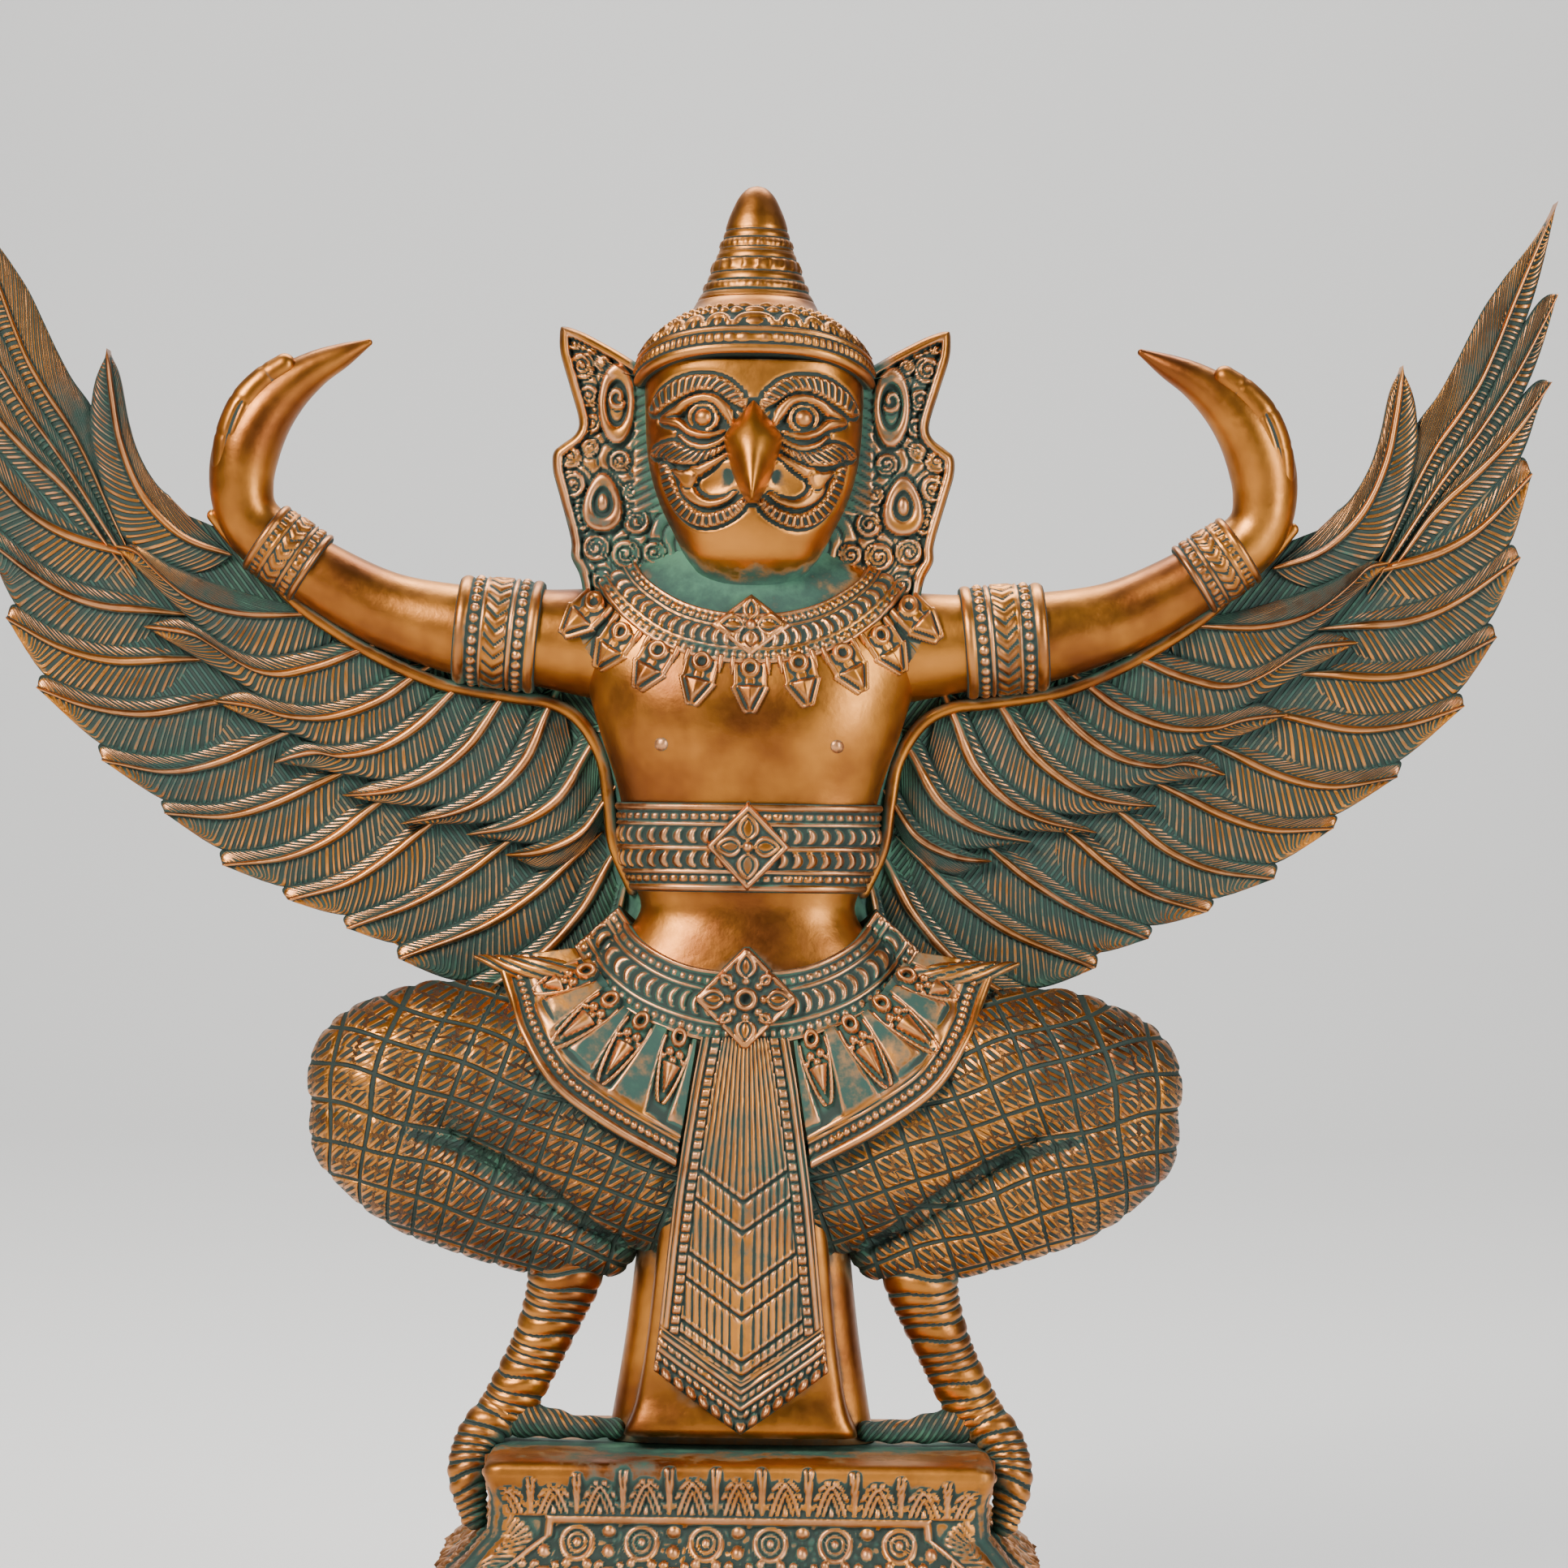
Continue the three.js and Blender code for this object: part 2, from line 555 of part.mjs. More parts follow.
// A block whose outline, a rectangle with round corners, takes each level's size in turn.
function block(levels) {
  const [halfWidth, halfDepth] = TOP;
  const shape = new THREE.Shape();
  for (const [x, y, start] of [[1, 1, 0], [-1, 1, 1], [-1, -1, 2], [1, -1, 3]]) {
    const turn = (start * Math.PI) / 2;
    const [cx, cy] = [x * (halfWidth - PLINTH_CORNER_RADIUS), y * (halfDepth - PLINTH_CORNER_RADIUS)];
    shape.absarc(cx, cy, PLINTH_CORNER_RADIUS, turn, turn + Math.PI / 2, false);
  }
  const steps = levels.length - 1;
  const settings = { depth: steps, steps, bevelEnabled: false, curveSegments: 2 };
  return moved(new THREE.ExtrudeGeometry(shape, settings), (vertex) => {
    const [z, width, depth] = levels[Math.round(vertex.z)];
    const x = vertex.x + Math.sign(vertex.x) * (width - halfWidth);
    vertex.set(x, vertex.y + Math.sign(vertex.y) * (depth - halfDepth), z);
  });
}

// Copies of one ornament, made on the front plane of x and z, set along a side of the plinth.
function alongSide(make, count, pitch, half, turn) {
  const copies = [];
  for (let i = 0; i < count; i += 1) {
    for (const geometry of make((i - (count - 1) / 2) * pitch)) {
      copies.push(geometry.translate(0, -half, 0).rotateZ(turn));
    }
  }
  return copies;
}

// A pointed lotus petal that stands on a level.
function petal(x, z, height) {
  const half = PETAL_PITCH * 0.46;
  const outline = [[-1, 0], [-0.86, 0.45], [0, 1], [0.86, 0.45], [1, 0]];
  return [plate(outline.map(([side, up]) => [x + side * half, z + up * height]), -PETAL_RELIEF, BODY_INSET)];
}

function rosette(x, z) {
  const profile = [[0, -2], [1, -2], [0.9, 0.4], [0.4, 1], [0, 1]].map(
    ([reach, out]) => new THREE.Vector2(reach * ROSETTE_RADIUS, out * ROSETTE_RELIEF));
  return [new THREE.LatheGeometry(profile, 6).rotateX(Math.PI).translate(x, 0, z)];
}

// The raised frame of the front panel: a trapezoid that opens downward over the flare
function panelFrame() {
  const levels = plinthLevels();
  const frontAt = (z) => {
    const above = levels.findIndex((level) => level[0] > z);
    const [low, high] = [levels[above - 1], levels[above]];
    return -(low[2] + ((high[2] - low[2]) * (z - low[0])) / (high[0] - low[0]));
  };
  const top = DIE_TOP - PETAL_BAND_HEIGHT * 0.4;
  const side = [[TOP[0] * 0.77, top], [TOP[0] * 0.82, FLARE_TOP], [TOP[0] * 0.87, FLARE_FOOT]];
  const right = side.map(([x, z]) => [x, frontAt(z), z, PANEL_FRAME_WIDTH / 2]);
  const left = right.map(([x, ...rest]) => [-x, ...rest]).reverse();
  const frame = [...left, ...right];
  return rod(frame, { sides: 4, steps: frame.length - 1, ends: "flat", width: 1.2 });
}

// Petals along one side of the plinth, taller towards the middle by the given rise
function petalRow(halfLength, halfAcross, turn, rise) {
  const count = Math.floor((2 * halfLength - 2) / PETAL_PITCH);
  const tall = (x) => PETAL_BAND_HEIGHT * (0.5 + rise * Math.cos((x / halfLength) * 1.5));
  const make = (x) => petal(x, PETAL_FOOT, tall(x));
  return alongSide(make, count, PETAL_PITCH, halfAcross - BODY_INSET, turn);
}

function plinthOrnament() {
  const [halfWidth, halfDepth] = TOP;
  const rosettes = Math.floor((2 * halfWidth - 40) / ROSETTE_PITCH) + 1;
  const rosetteLevel = (FLARE_TOP + PETAL_FOOT) / 2 - PANEL_FRAME_WIDTH - 1;
  return [
    panelFrame(),
    ...petalRow(halfWidth, halfDepth, 0, 0.4),
    ...petalRow(halfDepth, halfWidth, Math.PI / 2, 0),
    ...petalRow(halfDepth, halfWidth, -Math.PI / 2, 0),
    ...alongSide((x) => rosette(x, rosetteLevel), rosettes, ROSETTE_PITCH, halfDepth - BODY_INSET + 1.2, 0),
  ];
}

// The room that the plinth takes up, with the seat gap, under the figure and inside its talons
function seatRoom() {
  const grown = plinthLevels().map(([z, width, depth]) => [z, width + SEAT_GAP, depth + SEAT_GAP]);
  const flare = grown.filter(([z]) => z < FLARE_TOP);
  const top = TOP.map((value) => value + SEAT_GAP);
  return block([...flare, [FLARE_TOP, ...top], [SEAT, ...top]]);
}

function figure() {
  const forms = [torso, necklace, girdle, apron, head, crown, ears, arms, wings, legs];
  const own = forms.flatMap((form) => form()).map((geometry) =>
    geometry.translate(0, 0, -SEAT_LEVEL).scale(UNIT, UNIT, UNIT).translate(0, 0, SEAT));
  return filled(joined([...own, ...feet()]).subtract(solid(seatRoom())));
}

function plinth() {
  return joined([block(plinthLevels()), ...plinthOrnament()]);
}

const garuda = new THREE.Group();
const pieces = [
  ["garuda_figure", figure(), { color: 0xb06a2c, metalness: 0.85, roughness: 0.42 }],
  ["plinth", plinth(), { color: 0x8a6038, metalness: 0.8, roughness: 0.5 }],
];
for (const [name, body, finish] of pieces) {
  const mesh = new THREE.Mesh(geometryOf(body), new THREE.MeshStandardMaterial(finish));
  mesh.name = name;
  garuda.add(mesh);
}

export default garuda;
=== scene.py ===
"""A cast brass garuda on its plinth: its fine carving, patina and a plain studio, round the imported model."""
import math

import bpy
import numpy as np
import openvdb
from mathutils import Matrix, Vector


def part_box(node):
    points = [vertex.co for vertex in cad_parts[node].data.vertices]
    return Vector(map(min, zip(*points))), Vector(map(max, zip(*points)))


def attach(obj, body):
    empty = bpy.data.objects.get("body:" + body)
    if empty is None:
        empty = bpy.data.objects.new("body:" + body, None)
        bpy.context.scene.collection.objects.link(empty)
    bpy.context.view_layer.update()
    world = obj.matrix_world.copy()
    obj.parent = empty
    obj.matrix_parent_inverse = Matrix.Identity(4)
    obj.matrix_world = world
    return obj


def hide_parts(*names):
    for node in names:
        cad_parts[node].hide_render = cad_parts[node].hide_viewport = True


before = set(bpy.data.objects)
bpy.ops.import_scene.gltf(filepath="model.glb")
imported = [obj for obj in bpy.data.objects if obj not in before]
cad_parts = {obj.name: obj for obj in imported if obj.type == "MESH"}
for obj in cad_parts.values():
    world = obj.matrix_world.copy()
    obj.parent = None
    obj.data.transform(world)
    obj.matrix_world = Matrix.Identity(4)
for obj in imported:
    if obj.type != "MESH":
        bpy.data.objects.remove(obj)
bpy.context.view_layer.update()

# Sizes from the frame. The figure's forms are written in lengths of UNIT metres above a datum, with x to the
# viewer's right, y away from the viewer and z up. The plinth's are in lengths of MM above its underside.
_, FIGURE_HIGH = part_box("garuda_figure")
PLINTH_LOW, PLINTH_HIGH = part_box("plinth")
SEAT_LEVEL, TOP_LEVEL = 6.5, 315
SEAT_GAP = 0.0003
SEAT = PLINTH_HIGH.z + SEAT_GAP
UNIT = (FIGURE_HIGH.z - SEAT) / (TOP_LEVEL - SEAT_LEVEL)
PLINTH_TOP = 70
MM = (PLINTH_HIGH.z - PLINTH_LOW.z) / PLINTH_TOP

# Spacing of the points over the carving and behind it
FINE = 0.6
COARSE = 2.4
SOFT_EDGE = 0.35

# How aged each form is, from 0 where touch keeps it bright to 1 where it is green all over
AGE = {
    "skin": 0.06, "nipples": 0.9, "collar": 0.75, "neck drops": 0.3, "collar flower": 0.6, "belt": 0.55,
    "fillet": 0.9, "girdle": 0.85, "girdle flower": 0.55, "cloth": 0.6, "gathers": 0.8, "cloth drops": 0.45,
    "apron": 0.74, "pillar": 0.15, "head": 0.18, "crown": 0.3, "ears": 0.72, "armband": 0.6,
    "wristband": 0.35, "fingers": 0.35, "legs": 0.42, "shanks": 0.4, "toes": 0.5, "webs": 0.9,
    "crest": 0.5, "wing border": 0.3, "wing sheet": 0.95, "plinth": 0.7,
}


# Lines and small relief profiles

def smooth(points, steps=16):
    """A Catmull-Rom line through the points."""
    known = np.asarray(points, float)
    ends = np.vstack([2 * known[0] - known[1], known, 2 * known[-1] - known[-2]])
    t = np.linspace(0, 1, steps, endpoint=False)[:, None]
    stretches = []
    for a, b, c, d in zip(ends, ends[1:], ends[2:], ends[3:]):
        bend = 2 * a - 5 * b + 4 * c - d
        twist = 3 * b - a - 3 * c + d
        stretches.append(0.5 * (2 * b + (c - a) * t + bend * t ** 2 + twist * t ** 3))
    return np.vstack([*stretches, known[-1:]])


def lengths(line, dims):
    steps = np.linalg.norm(np.diff(line[:, :dims], axis=0), axis=1)
    return np.concatenate([[0], np.cumsum(steps)])


def read_off(at, run, line):
    """Places on a line, at lengths along it."""
    return np.stack([np.interp(at, run, column) for column in line.T], -1)


def resample(points, spacing, dims=3, count=0):
    """Points at even lengths along the smooth line through the given ones, and those lengths."""
    line = smooth(points)
    run = lengths(line, dims)
    count = count or max(3, int(run[-1] / spacing) + 1)
    at = np.linspace(0, run[-1], count)
    return at, read_off(at, run, line)


def stacked(*columns):
    """Values side by side at each point, spread over the same grid."""
    return np.stack(np.broadcast_arrays(*columns), -1)


def risen(value, reach):
    """0 below 0, then rising evenly to 1 at the reach."""
    return np.clip(value / reach, 0, 1)


def dome(d, half):
    """A round profile: 1 in the middle of a band and 0 at its edges."""
    return np.clip(1 - (d / half) ** 2, 0, 1) ** 0.7


def flat(d, half, edge=SOFT_EDGE):
    """A flat-topped profile with soft edges."""
    t = np.clip((half - np.abs(d)) / edge + 0.5, 0, 1)
    return t * t * (3 - 2 * t)


def line_cut(d, half=0.35):
    """An engraved line."""
    return np.exp(-(d / half) ** 2)


def beads(along, across, pitch, radius):
    off = (along / pitch - np.round(along / pitch)) * pitch
    return radius * dome(np.hypot(off, across), radius)


def strokes(along, pitch):
    """Engraved strokes: 0 on the ridges between them and -1 in them."""
    return np.abs(np.sin(np.pi * along / pitch)) ** 0.7 - 1


def mixed(a, b, share):
    return a + (b - a) * share


def nearest(points, x, z, reach=6.0, steps=5):
    """Distance from each place to a drawn line, and how far along the line and on which side it is."""
    line = smooth(points, steps)
    best = np.full(x.shape, 1e3)
    run = np.zeros(x.shape)
    side = np.zeros(x.shape)
    low, high = line.min(0) - reach, line.max(0) + reach
    inside = (x > low[0]) & (x < high[0]) & (z > low[1]) & (z < high[1])
    if not inside.any():
        return best, run, side
    px, pz = x[inside], z[inside]
    d, s, w, travelled = best[inside], run[inside], side[inside], 0.0
    for (ax, az), (bx, bz) in zip(line[:-1], line[1:]):
        ex, ez = bx - ax, bz - az
        length = math.hypot(ex, ez) + 1e-9
        t = np.clip(((px - ax) * ex + (pz - az) * ez) / length ** 2, 0, 1)
        ox, oz = px - ax - t * ex, pz - az - t * ez
        here = np.hypot(ox, oz)
        closer = here < d
        d = np.where(closer, here, d)
        s = np.where(closer, travelled + t * length, s)
        w = np.where(closer, np.sign(ex * oz - ez * ox) * here, w)
        travelled += length
    best[inside], run[inside], side[inside] = d, s, w
    return best, run, side


def blurred(grid, times, wrap=False):
    """The grid averaged with its neighbours a few times."""
    for _ in range(times):
        edge = np.pad(grid, ((1, 1), (0, 0)), "edge")
        grid = (edge[:-2] + 2 * edge[1:-1] + edge[2:]) / 4
        edge = np.pad(grid, ((0, 0), (1, 1)), "wrap" if wrap else "edge")
        grid = (edge[:, :-2] + 2 * edge[:, 1:-1] + edge[:, 2:]) / 4
    return grid


def ground(x, z, pitch=2.4):
    """A busy ground of small curled leaves, between the larger scrolls."""
    u, v = x * 2 * np.pi / pitch, z * 2 * np.pi / pitch
    bend = 1.3 * np.sin(0.43 * u + 0.9 * np.sin(0.31 * v)) + 1.1 * np.sin(0.37 * v - 1.7)
    ridge = np.sin(0.5 * u + bend) * np.cos(0.46 * v - 0.8 * bend)
    return np.abs(ridge) ** 0.6 - 0.55


def scroll(x, z, middle, radius, turns, start, hand, half):
    """A raised curl that winds into its middle, 0 outside it."""
    angle = np.linspace(0, turns * 2 * np.pi, int(10 * turns) + 2)
    reach = radius * (1 - 0.72 * angle / angle[-1])
    turn = start + hand * angle
    path = np.column_stack([middle[0] + reach * np.cos(turn), middle[1] + reach * np.sin(turn)])
    d, _, _ = nearest(path, x, z, reach=2, steps=1)
    return dome(d, half)


# Surfaces: every form is a closed grid of points, so that the whole can be read as one casting

def unit(v):
    return v / (np.linalg.norm(v, axis=-1, keepdims=True) + 1e-12)


def normals_of(points, wrap):
    down = np.gradient(points, axis=0)
    if wrap:
        across = np.roll(points, -1, 1) - np.roll(points, 1, 1)
    else:
        across = np.gradient(points, axis=1)
    return unit(np.cross(across, down))


def quads_of(rows, columns, wrap):
    index = np.arange(rows * columns).reshape(rows, columns)
    if wrap:
        index = np.hstack([index, index[:, :1]])
    return np.stack([index[:-1, :-1], index[:-1, 1:], index[1:, 1:], index[1:, :-1]], -1).reshape(-1, 4)


def fan_of(ring, tip):
    return np.stack([ring, np.roll(ring, -1), np.full(len(ring), tip)], -1)


class Casting:
    """The surface of one piece, gathered from closed grids in the figure's units."""

    def __init__(self, name, node, slot, age=0.0):
        self.name, self.node, self.slot, self.age = name, node, slot, age
        self.points, self.quads, self.triangles, self.marks = [], [], [], []
        self.count = 0

    def gather(self, points, quads, triangles, marks):
        """One closed form, turned so that its faces look outward."""
        corners = np.vstack([quads[:, [0, 1, 2]], quads[:, [0, 2, 3]], triangles])
        a, b, c = points[corners].transpose(1, 0, 2)
        if np.einsum("ij,ij->", a, np.cross(b, c)) < 0:
            quads, triangles = quads[:, ::-1], triangles[:, ::-1]
        self.points.append(points)
        self.quads.append(quads + self.count)
        self.triangles.append(triangles + self.count)
        self.marks.append(marks + np.append(np.zeros(len(MARKS) - 1), self.age))
        self.count += len(points)

    def sides(self, points, quads, triangles, marks, both):
        """A form as it is, with its mirror image if both are wanted."""
        for side in (1, -1) if both else (1,):
            self.gather(points * [side, 1, 1], quads, triangles, marks)

    def closed(self, rings, marks, both):
        """Rows of points that each close on themselves, with a fan over the first and the last."""
        rows, columns, _ = rings.shape
        last = rows * columns
        points = np.vstack([rings.reshape(-1, 3), rings[0].mean(0), rings[-1].mean(0)])
        first_fan = fan_of(np.arange(columns)[::-1], last)
        last_fan = fan_of(np.arange(last - columns, last), last + 1)
        marks = np.vstack([marks.reshape(-1, len(MARKS)), np.zeros((2, len(MARKS)))])
        self.sides(points, quads_of(rows, columns, True), np.vstack([first_fan, last_fan]), marks, both)

    def ring(self, base, lift=0.0, both=False, blur=5, **drawn):
        """A form whose rows close on themselves, with its relief and what is drawn on it."""
        lift = np.broadcast_to(lift, base.shape[:2])
        normal = normals_of(base, True)
        outward = np.sign(np.einsum("ijk,ijk->", normal, base - base.mean(1, keepdims=True)))
        raised = base + normal * outward * lift[..., None]
        self.closed(raised, marks_of(lift, drawn, blur, True), both)

    def rod(self, stations, carve=None, spacing=FINE, round_ends=True):
        """A rod through stations and its mirror image."""
        base, lift, drawn = tube(stations, carve, spacing, round_ends)
        self.ring(base, lift, both=True, **drawn)

    def slab(self, front, rear, lift, both=False, blur=4, **drawn):
        """A plate: its carved front, and fewer columns of points for its back."""
        marks = marks_of(lift, drawn, blur, False)
        plain = np.zeros((*rear.shape[:2], len(MARKS)))
        self.closed(np.concatenate([front, rear], 1), np.concatenate([marks, plain], 1), both)

    def patch(self, base, lift, anchor, both=False, **drawn):
        """A sheet of carving, closed behind by a cone to a point inside the body that carries it."""
        rows, columns, _ = base.shape
        last = rows * columns
        normal = normals_of(base, False)
        normal *= -np.sign(normal[..., 1].sum())
        raised = base + normal * lift[..., None]
        marks = marks_of(lift, drawn, 5, False).reshape(last, len(MARKS))
        index = np.arange(last).reshape(rows, columns)
        edge = np.concatenate([index[0, :-1], index[:-1, -1], index[-1, :0:-1], index[:0:-1, 0]])
        self.sides(np.vstack([raised.reshape(last, 3), anchor]), quads_of(rows, columns, False),
                   fan_of(edge[::-1], last), np.vstack([marks, np.zeros(len(MARKS))]), both)


# What the finish reads at each point: how sunk it is, the phase and depth of fine strokes, the two phases
# and the depth of a lattice of lines, and how aged it is
MARKS = ("groove", "phase", "strokes", "lattice_up", "lattice_across", "lattice", "age")


def marks_of(lift, drawn, blur, wrap):
    """The marks at each point of a form: how sunk it is, and what is drawn on it."""
    return stacked(blurred(lift, blur, wrap) - lift, *(drawn.get(mark, 0.0) for mark in MARKS[1:]))


def angles(radius, spread=0.58, spacing=FINE):
    """Angles round a form from its front, fine over the front and coarse behind."""
    half, full = spread * np.pi, 2 * np.pi
    front = np.linspace(-half, half, max(12, int(2 * half * radius / spacing)))
    back = np.linspace(half, full - half, max(4, int((full - 2 * half) * radius / COARSE)))
    return np.concatenate([front, back[1:-1]])


def domed(centre, radius, tangent, run, spacing):
    """The start of a rod, with the rows of a round end before it."""
    r, t = radius[0], tangent[0]
    turn = np.linspace(0, np.pi / 2, max(6, int(r * 1.57 / (spacing * 1.3))))[:-1]
    centre = np.vstack([centre[0] - t * r * np.cos(turn)[:, None], centre])
    radius = np.concatenate([r * np.sin(turn) + 0.02, radius])
    tangent = np.vstack([np.tile(t, (len(turn), 1)), tangent])
    return centre, radius, tangent, np.concatenate([run[0] - r * np.cos(turn), run])


def tube(stations, carve=None, spacing=FINE, round_ends=True):
    """A rod through stations [x, y, z, radius], its relief and what is drawn on it.

    carve(run, around, angle, base) gives these two, from lengths along the rod and round it from its front.
    """
    run, line = resample(stations, spacing)
    centre, radius = line[:, :3], line[:, 3]
    tangent = unit(np.gradient(centre, axis=0))
    angle = angles(radius.max(), spacing=spacing)
    if round_ends:
        centre, radius, tangent, run = domed(centre, radius, tangent, run, spacing)
        ends = domed(centre[::-1], radius[::-1], -tangent[::-1], run[-1] - run[::-1], spacing)
        centre, radius, tangent, run = ends[0][::-1], ends[1][::-1], -ends[2][::-1], run[-1] - ends[3][::-1]
    wide = unit(np.cross(tangent, [0, -1, 0]))
    front = unit(np.cross(wide, tangent))
    front *= np.where(front[:, 1:2] > 0, -1, 1)
    turn = np.cos(angle)[None, :, None] * front[:, None] + np.sin(angle)[None, :, None] * wide[:, None]
    base = centre[:, None] + turn * radius[:, None, None]
    if carve is None:
        return base, 0.0, {}
    run, angle = np.meshgrid(run, angle, indexing="ij")
    return base, *carve(run, angle * radius[:, None], angle, base)


def signed_power(value, power):
    return np.sign(value) * np.abs(value) ** power


class Loft:
    """A standing form through level ovals [z, half width, front y, back y]."""

    def __init__(self, levels, power=2.4):
        self.power = power
        line = smooth(levels)
        self.line = line[np.argsort(line[:, 0])]

    def size(self, z):
        """Half width, front and back at a level."""
        return [np.interp(z, self.line[:, 0], self.line[:, k]) for k in (1, 2, 3)]

    def front(self, x, z):
        """How far forward the form's surface is, as y."""
        half, front, back = self.size(z)
        across = np.clip(np.abs(x) / half, 0, 0.999)
        bulge = (1 - across ** self.power) ** (1 / self.power)
        return (front + back) / 2 - bulge * (back - front) / 2

    def grid(self, low=None, high=None, spacing=FINE, spread=0.54):
        """Points round the form at even levels."""
        low = self.line[0, 0] if low is None else low
        high = self.line[-1, 0] if high is None else high
        z = np.arange(low, high, spacing)[:, None]
        half, front, back = self.size(z)
        around = angles(half.max(), spread, spacing)[None, :]
        x = signed_power(np.sin(around), 2 / self.power) * half
        y = (front + back) / 2 - signed_power(np.cos(around), 2 / self.power) * (back - front) / 2
        return stacked(x, y, z)


RIM_WIDTH, RIM_SINK = 0.5, 0.6


def between(inner, outer, across, surface):
    """A sheet on a surface between two drawn lines [x, z]: its points, how far along and across they are, and
    the height of its rim, which sinks into the surface at its edges."""
    width = float(np.linalg.norm(smooth(inner)[8] - smooth(outer)[8]))
    run, bottom = resample(outer, FINE, 2)
    _, top = resample(inner, FINE, 2, len(run))
    share = np.linspace(0, 1, across)[:, None]
    x, z = np.moveaxis(top[None] + (bottom - top)[None] * share[..., None], -1, 0)
    along, down = np.broadcast_arrays(run[None], share)
    edge = np.minimum(np.minimum(down, 1 - down) * width, np.minimum(along, run[-1] - along))
    rim = risen(edge, RIM_WIDTH)
    return np.stack([x, surface(x, z), z], -1), along, down, rim * (1 + RIM_SINK) - RIM_SINK


CRESCENT_BEND = 0.22


# Motifs of a row: relief from lengths along it and d across it from its middle, its half width and its pitch

def cord(_, d, half):
    return 0.9 * dome(d, half)


def beading(along, d, half, pitch):
    return 0.9 * beads(along, d, pitch, min(half, pitch / 2) * 0.96)


def dashes(along, d, half, pitch):
    return 0.8 * flat(d, half * 0.7) * (1 + strokes(along, pitch))


def chevrons(along, d, half, pitch):
    return (0.85 + 0.75 * strokes(along + np.abs(d) * 0.9, pitch)) * flat(d, half * 0.92)


def crescents(along, d, half, pitch):
    off = (along + CRESCENT_BEND * d ** 2) / pitch
    off = off - np.floor(off)
    return 1.15 * risen(off, 0.12) * risen(0.72 - off, 0.4) * dome(d, half * 0.95) ** 0.5


def rows_of_carving(along, down, width, rows):
    """Relief of bands side by side. Each row is [from, to, motif, pitch] in lengths across the band."""
    lift = np.zeros(along.shape)
    for start, end, motif, *pitch in rows:
        d, half = down * width - (start + end) / 2, (end - start) / 2
        lift = np.where(np.abs(d) <= half, motif(along, d, half, *pitch), lift)
    return lift


# Wings: overlapping feathers, each a smooth shaft between two hatched vanes

WING_ROOT, WING_SPAN, WING_SWEEP = 30, 196, 9
# Front of each layer and how thick the wing is, with y forward of the trunk's middle negative
COVERT_FRONT, PRIMARY_FRONT, SHEET_FRONT, WING_BACK = 0.6, 2.8, 3.4, 7.4
COVERT_THICK, CREST_THICK, BORDER_RAISED, BORDER_RADIUS = 3, 4.4, 2.6, 1.6
BARB_PITCH, BARB_ROWS, BARB_SLANT = 1.5, 2, 1.1
VANE_STEP, VANE_AGE = 1.5, 0.3
STEM_COLUMNS = np.array([0.45, 0.8, 1.08, 1.5])
# A feather's worn tip, and its root, which sinks under what covers it
WORN_TIP, ROOT_LENGTH, ROOT_SINK = 8, 14, 2.4
UNDER_COVERTS, UNDER_BORDER = 12, 9
# Share of the gap between two shafts that the narrow vane above the shaft takes
LEAD_VANE, LONG_LEAD_VANE = 0.3, 0.46
# Half width of a shaft, share of the feather's length where its tip begins, and how blunt the tip is
LONG_FORM, SHORT_FORM = (1.15, 0.72, 2.5), (1.25, 0.88, 3)
CREST_FORM, COVERT_FORM = (1.4, 0.86, 3), (1.4, 0.7, 1.7)
FEATHER_AGES = (0.5, 0.85)

# Shafts from root to tip, from the top of the wing to the waist, as x and z.
COVERTS = [
    [(110.7, 208), (125, 207.9), (136.9, 210.9), (145.3, 216.9), (151.3, 222.8), (156.6, 224.2)],
    [(95.7, 199.6), (105.8, 195.4), (117.7, 193), (127.2, 196.6), (136.8, 202.5), (148.7, 204.3)],
    [(83.1, 193), (91.4, 187), (103.2, 182.8), (114, 182.8), (122.3, 185.2), (131.9, 186.4)],
    [(74, 188.8), (81.7, 181), (91.2, 175), (100.7, 173.2), (107.9, 174), (116.8, 171.4)],
    [(62, 187.2), (69.6, 176), (80.5, 167.6), (89.9, 164.4), (100, 163.6)],
    [(50.5, 184), (55.2, 173), (63.5, 164.2), (73, 159.4), (85.6, 156.8)],
    [(40.1, 175), (46.7, 164), (57.4, 157), (69.7, 154.3)],
    [(35.4, 163), (41, 155), (50.1, 150.6), (60, 149.4)],
]
PRIMARIES = [
    [(156.1, 228.8), (166, 250), (177.8, 268), (187, 291), (195.9, 312.8)],
    [(157.8, 226.4), (169.2, 244.2), (179, 258), (188, 273), (196.2, 290)],
    [(158.4, 224), (167, 236.5), (178, 247), (187, 257), (195, 268.5)],
    [(156, 222.8), (168.5, 226.5), (179, 233), (190.6, 246)],
    [(148.7, 208.5), (161, 209.6), (173, 214.5), (188, 225.5)],
    [(142.1, 196.5), (156.8, 195.9), (169.6, 199), (182.6, 206)],
    [(133, 185.8), (148.4, 182.8), (162.6, 184.5), (175, 189)],
    [(118.7, 176.8), (130.5, 171.4), (143.3, 168.8), (159, 171.4)],
    [(106, 166.6), (117.3, 161.2), (128.9, 158), (143.6, 158.6)],
    [(94, 160), (102.9, 152.8), (114.5, 147.8), (129.4, 146)],
    [(81.4, 154.6), (88.5, 148.6), (98.9, 141.8), (113.4, 137.6)],
    [(60.9, 151.6), (69.2, 145), (82.3, 137.2), (98.8, 130.8)],
    [(44.7, 147.4), (52.4, 140.2), (65.3, 131.6), (86, 123.4)],
    [(35, 147), (41, 136), (52, 124), (70, 113)],
    [(30, 143), (33, 130), (40, 116), (52, 104)],
]
CREST = [(127.6, 222.3), (139.5, 226.5), (149.1, 236), (154.6, 247.9), (157.1, 259.8), (158.8, 272.6)]
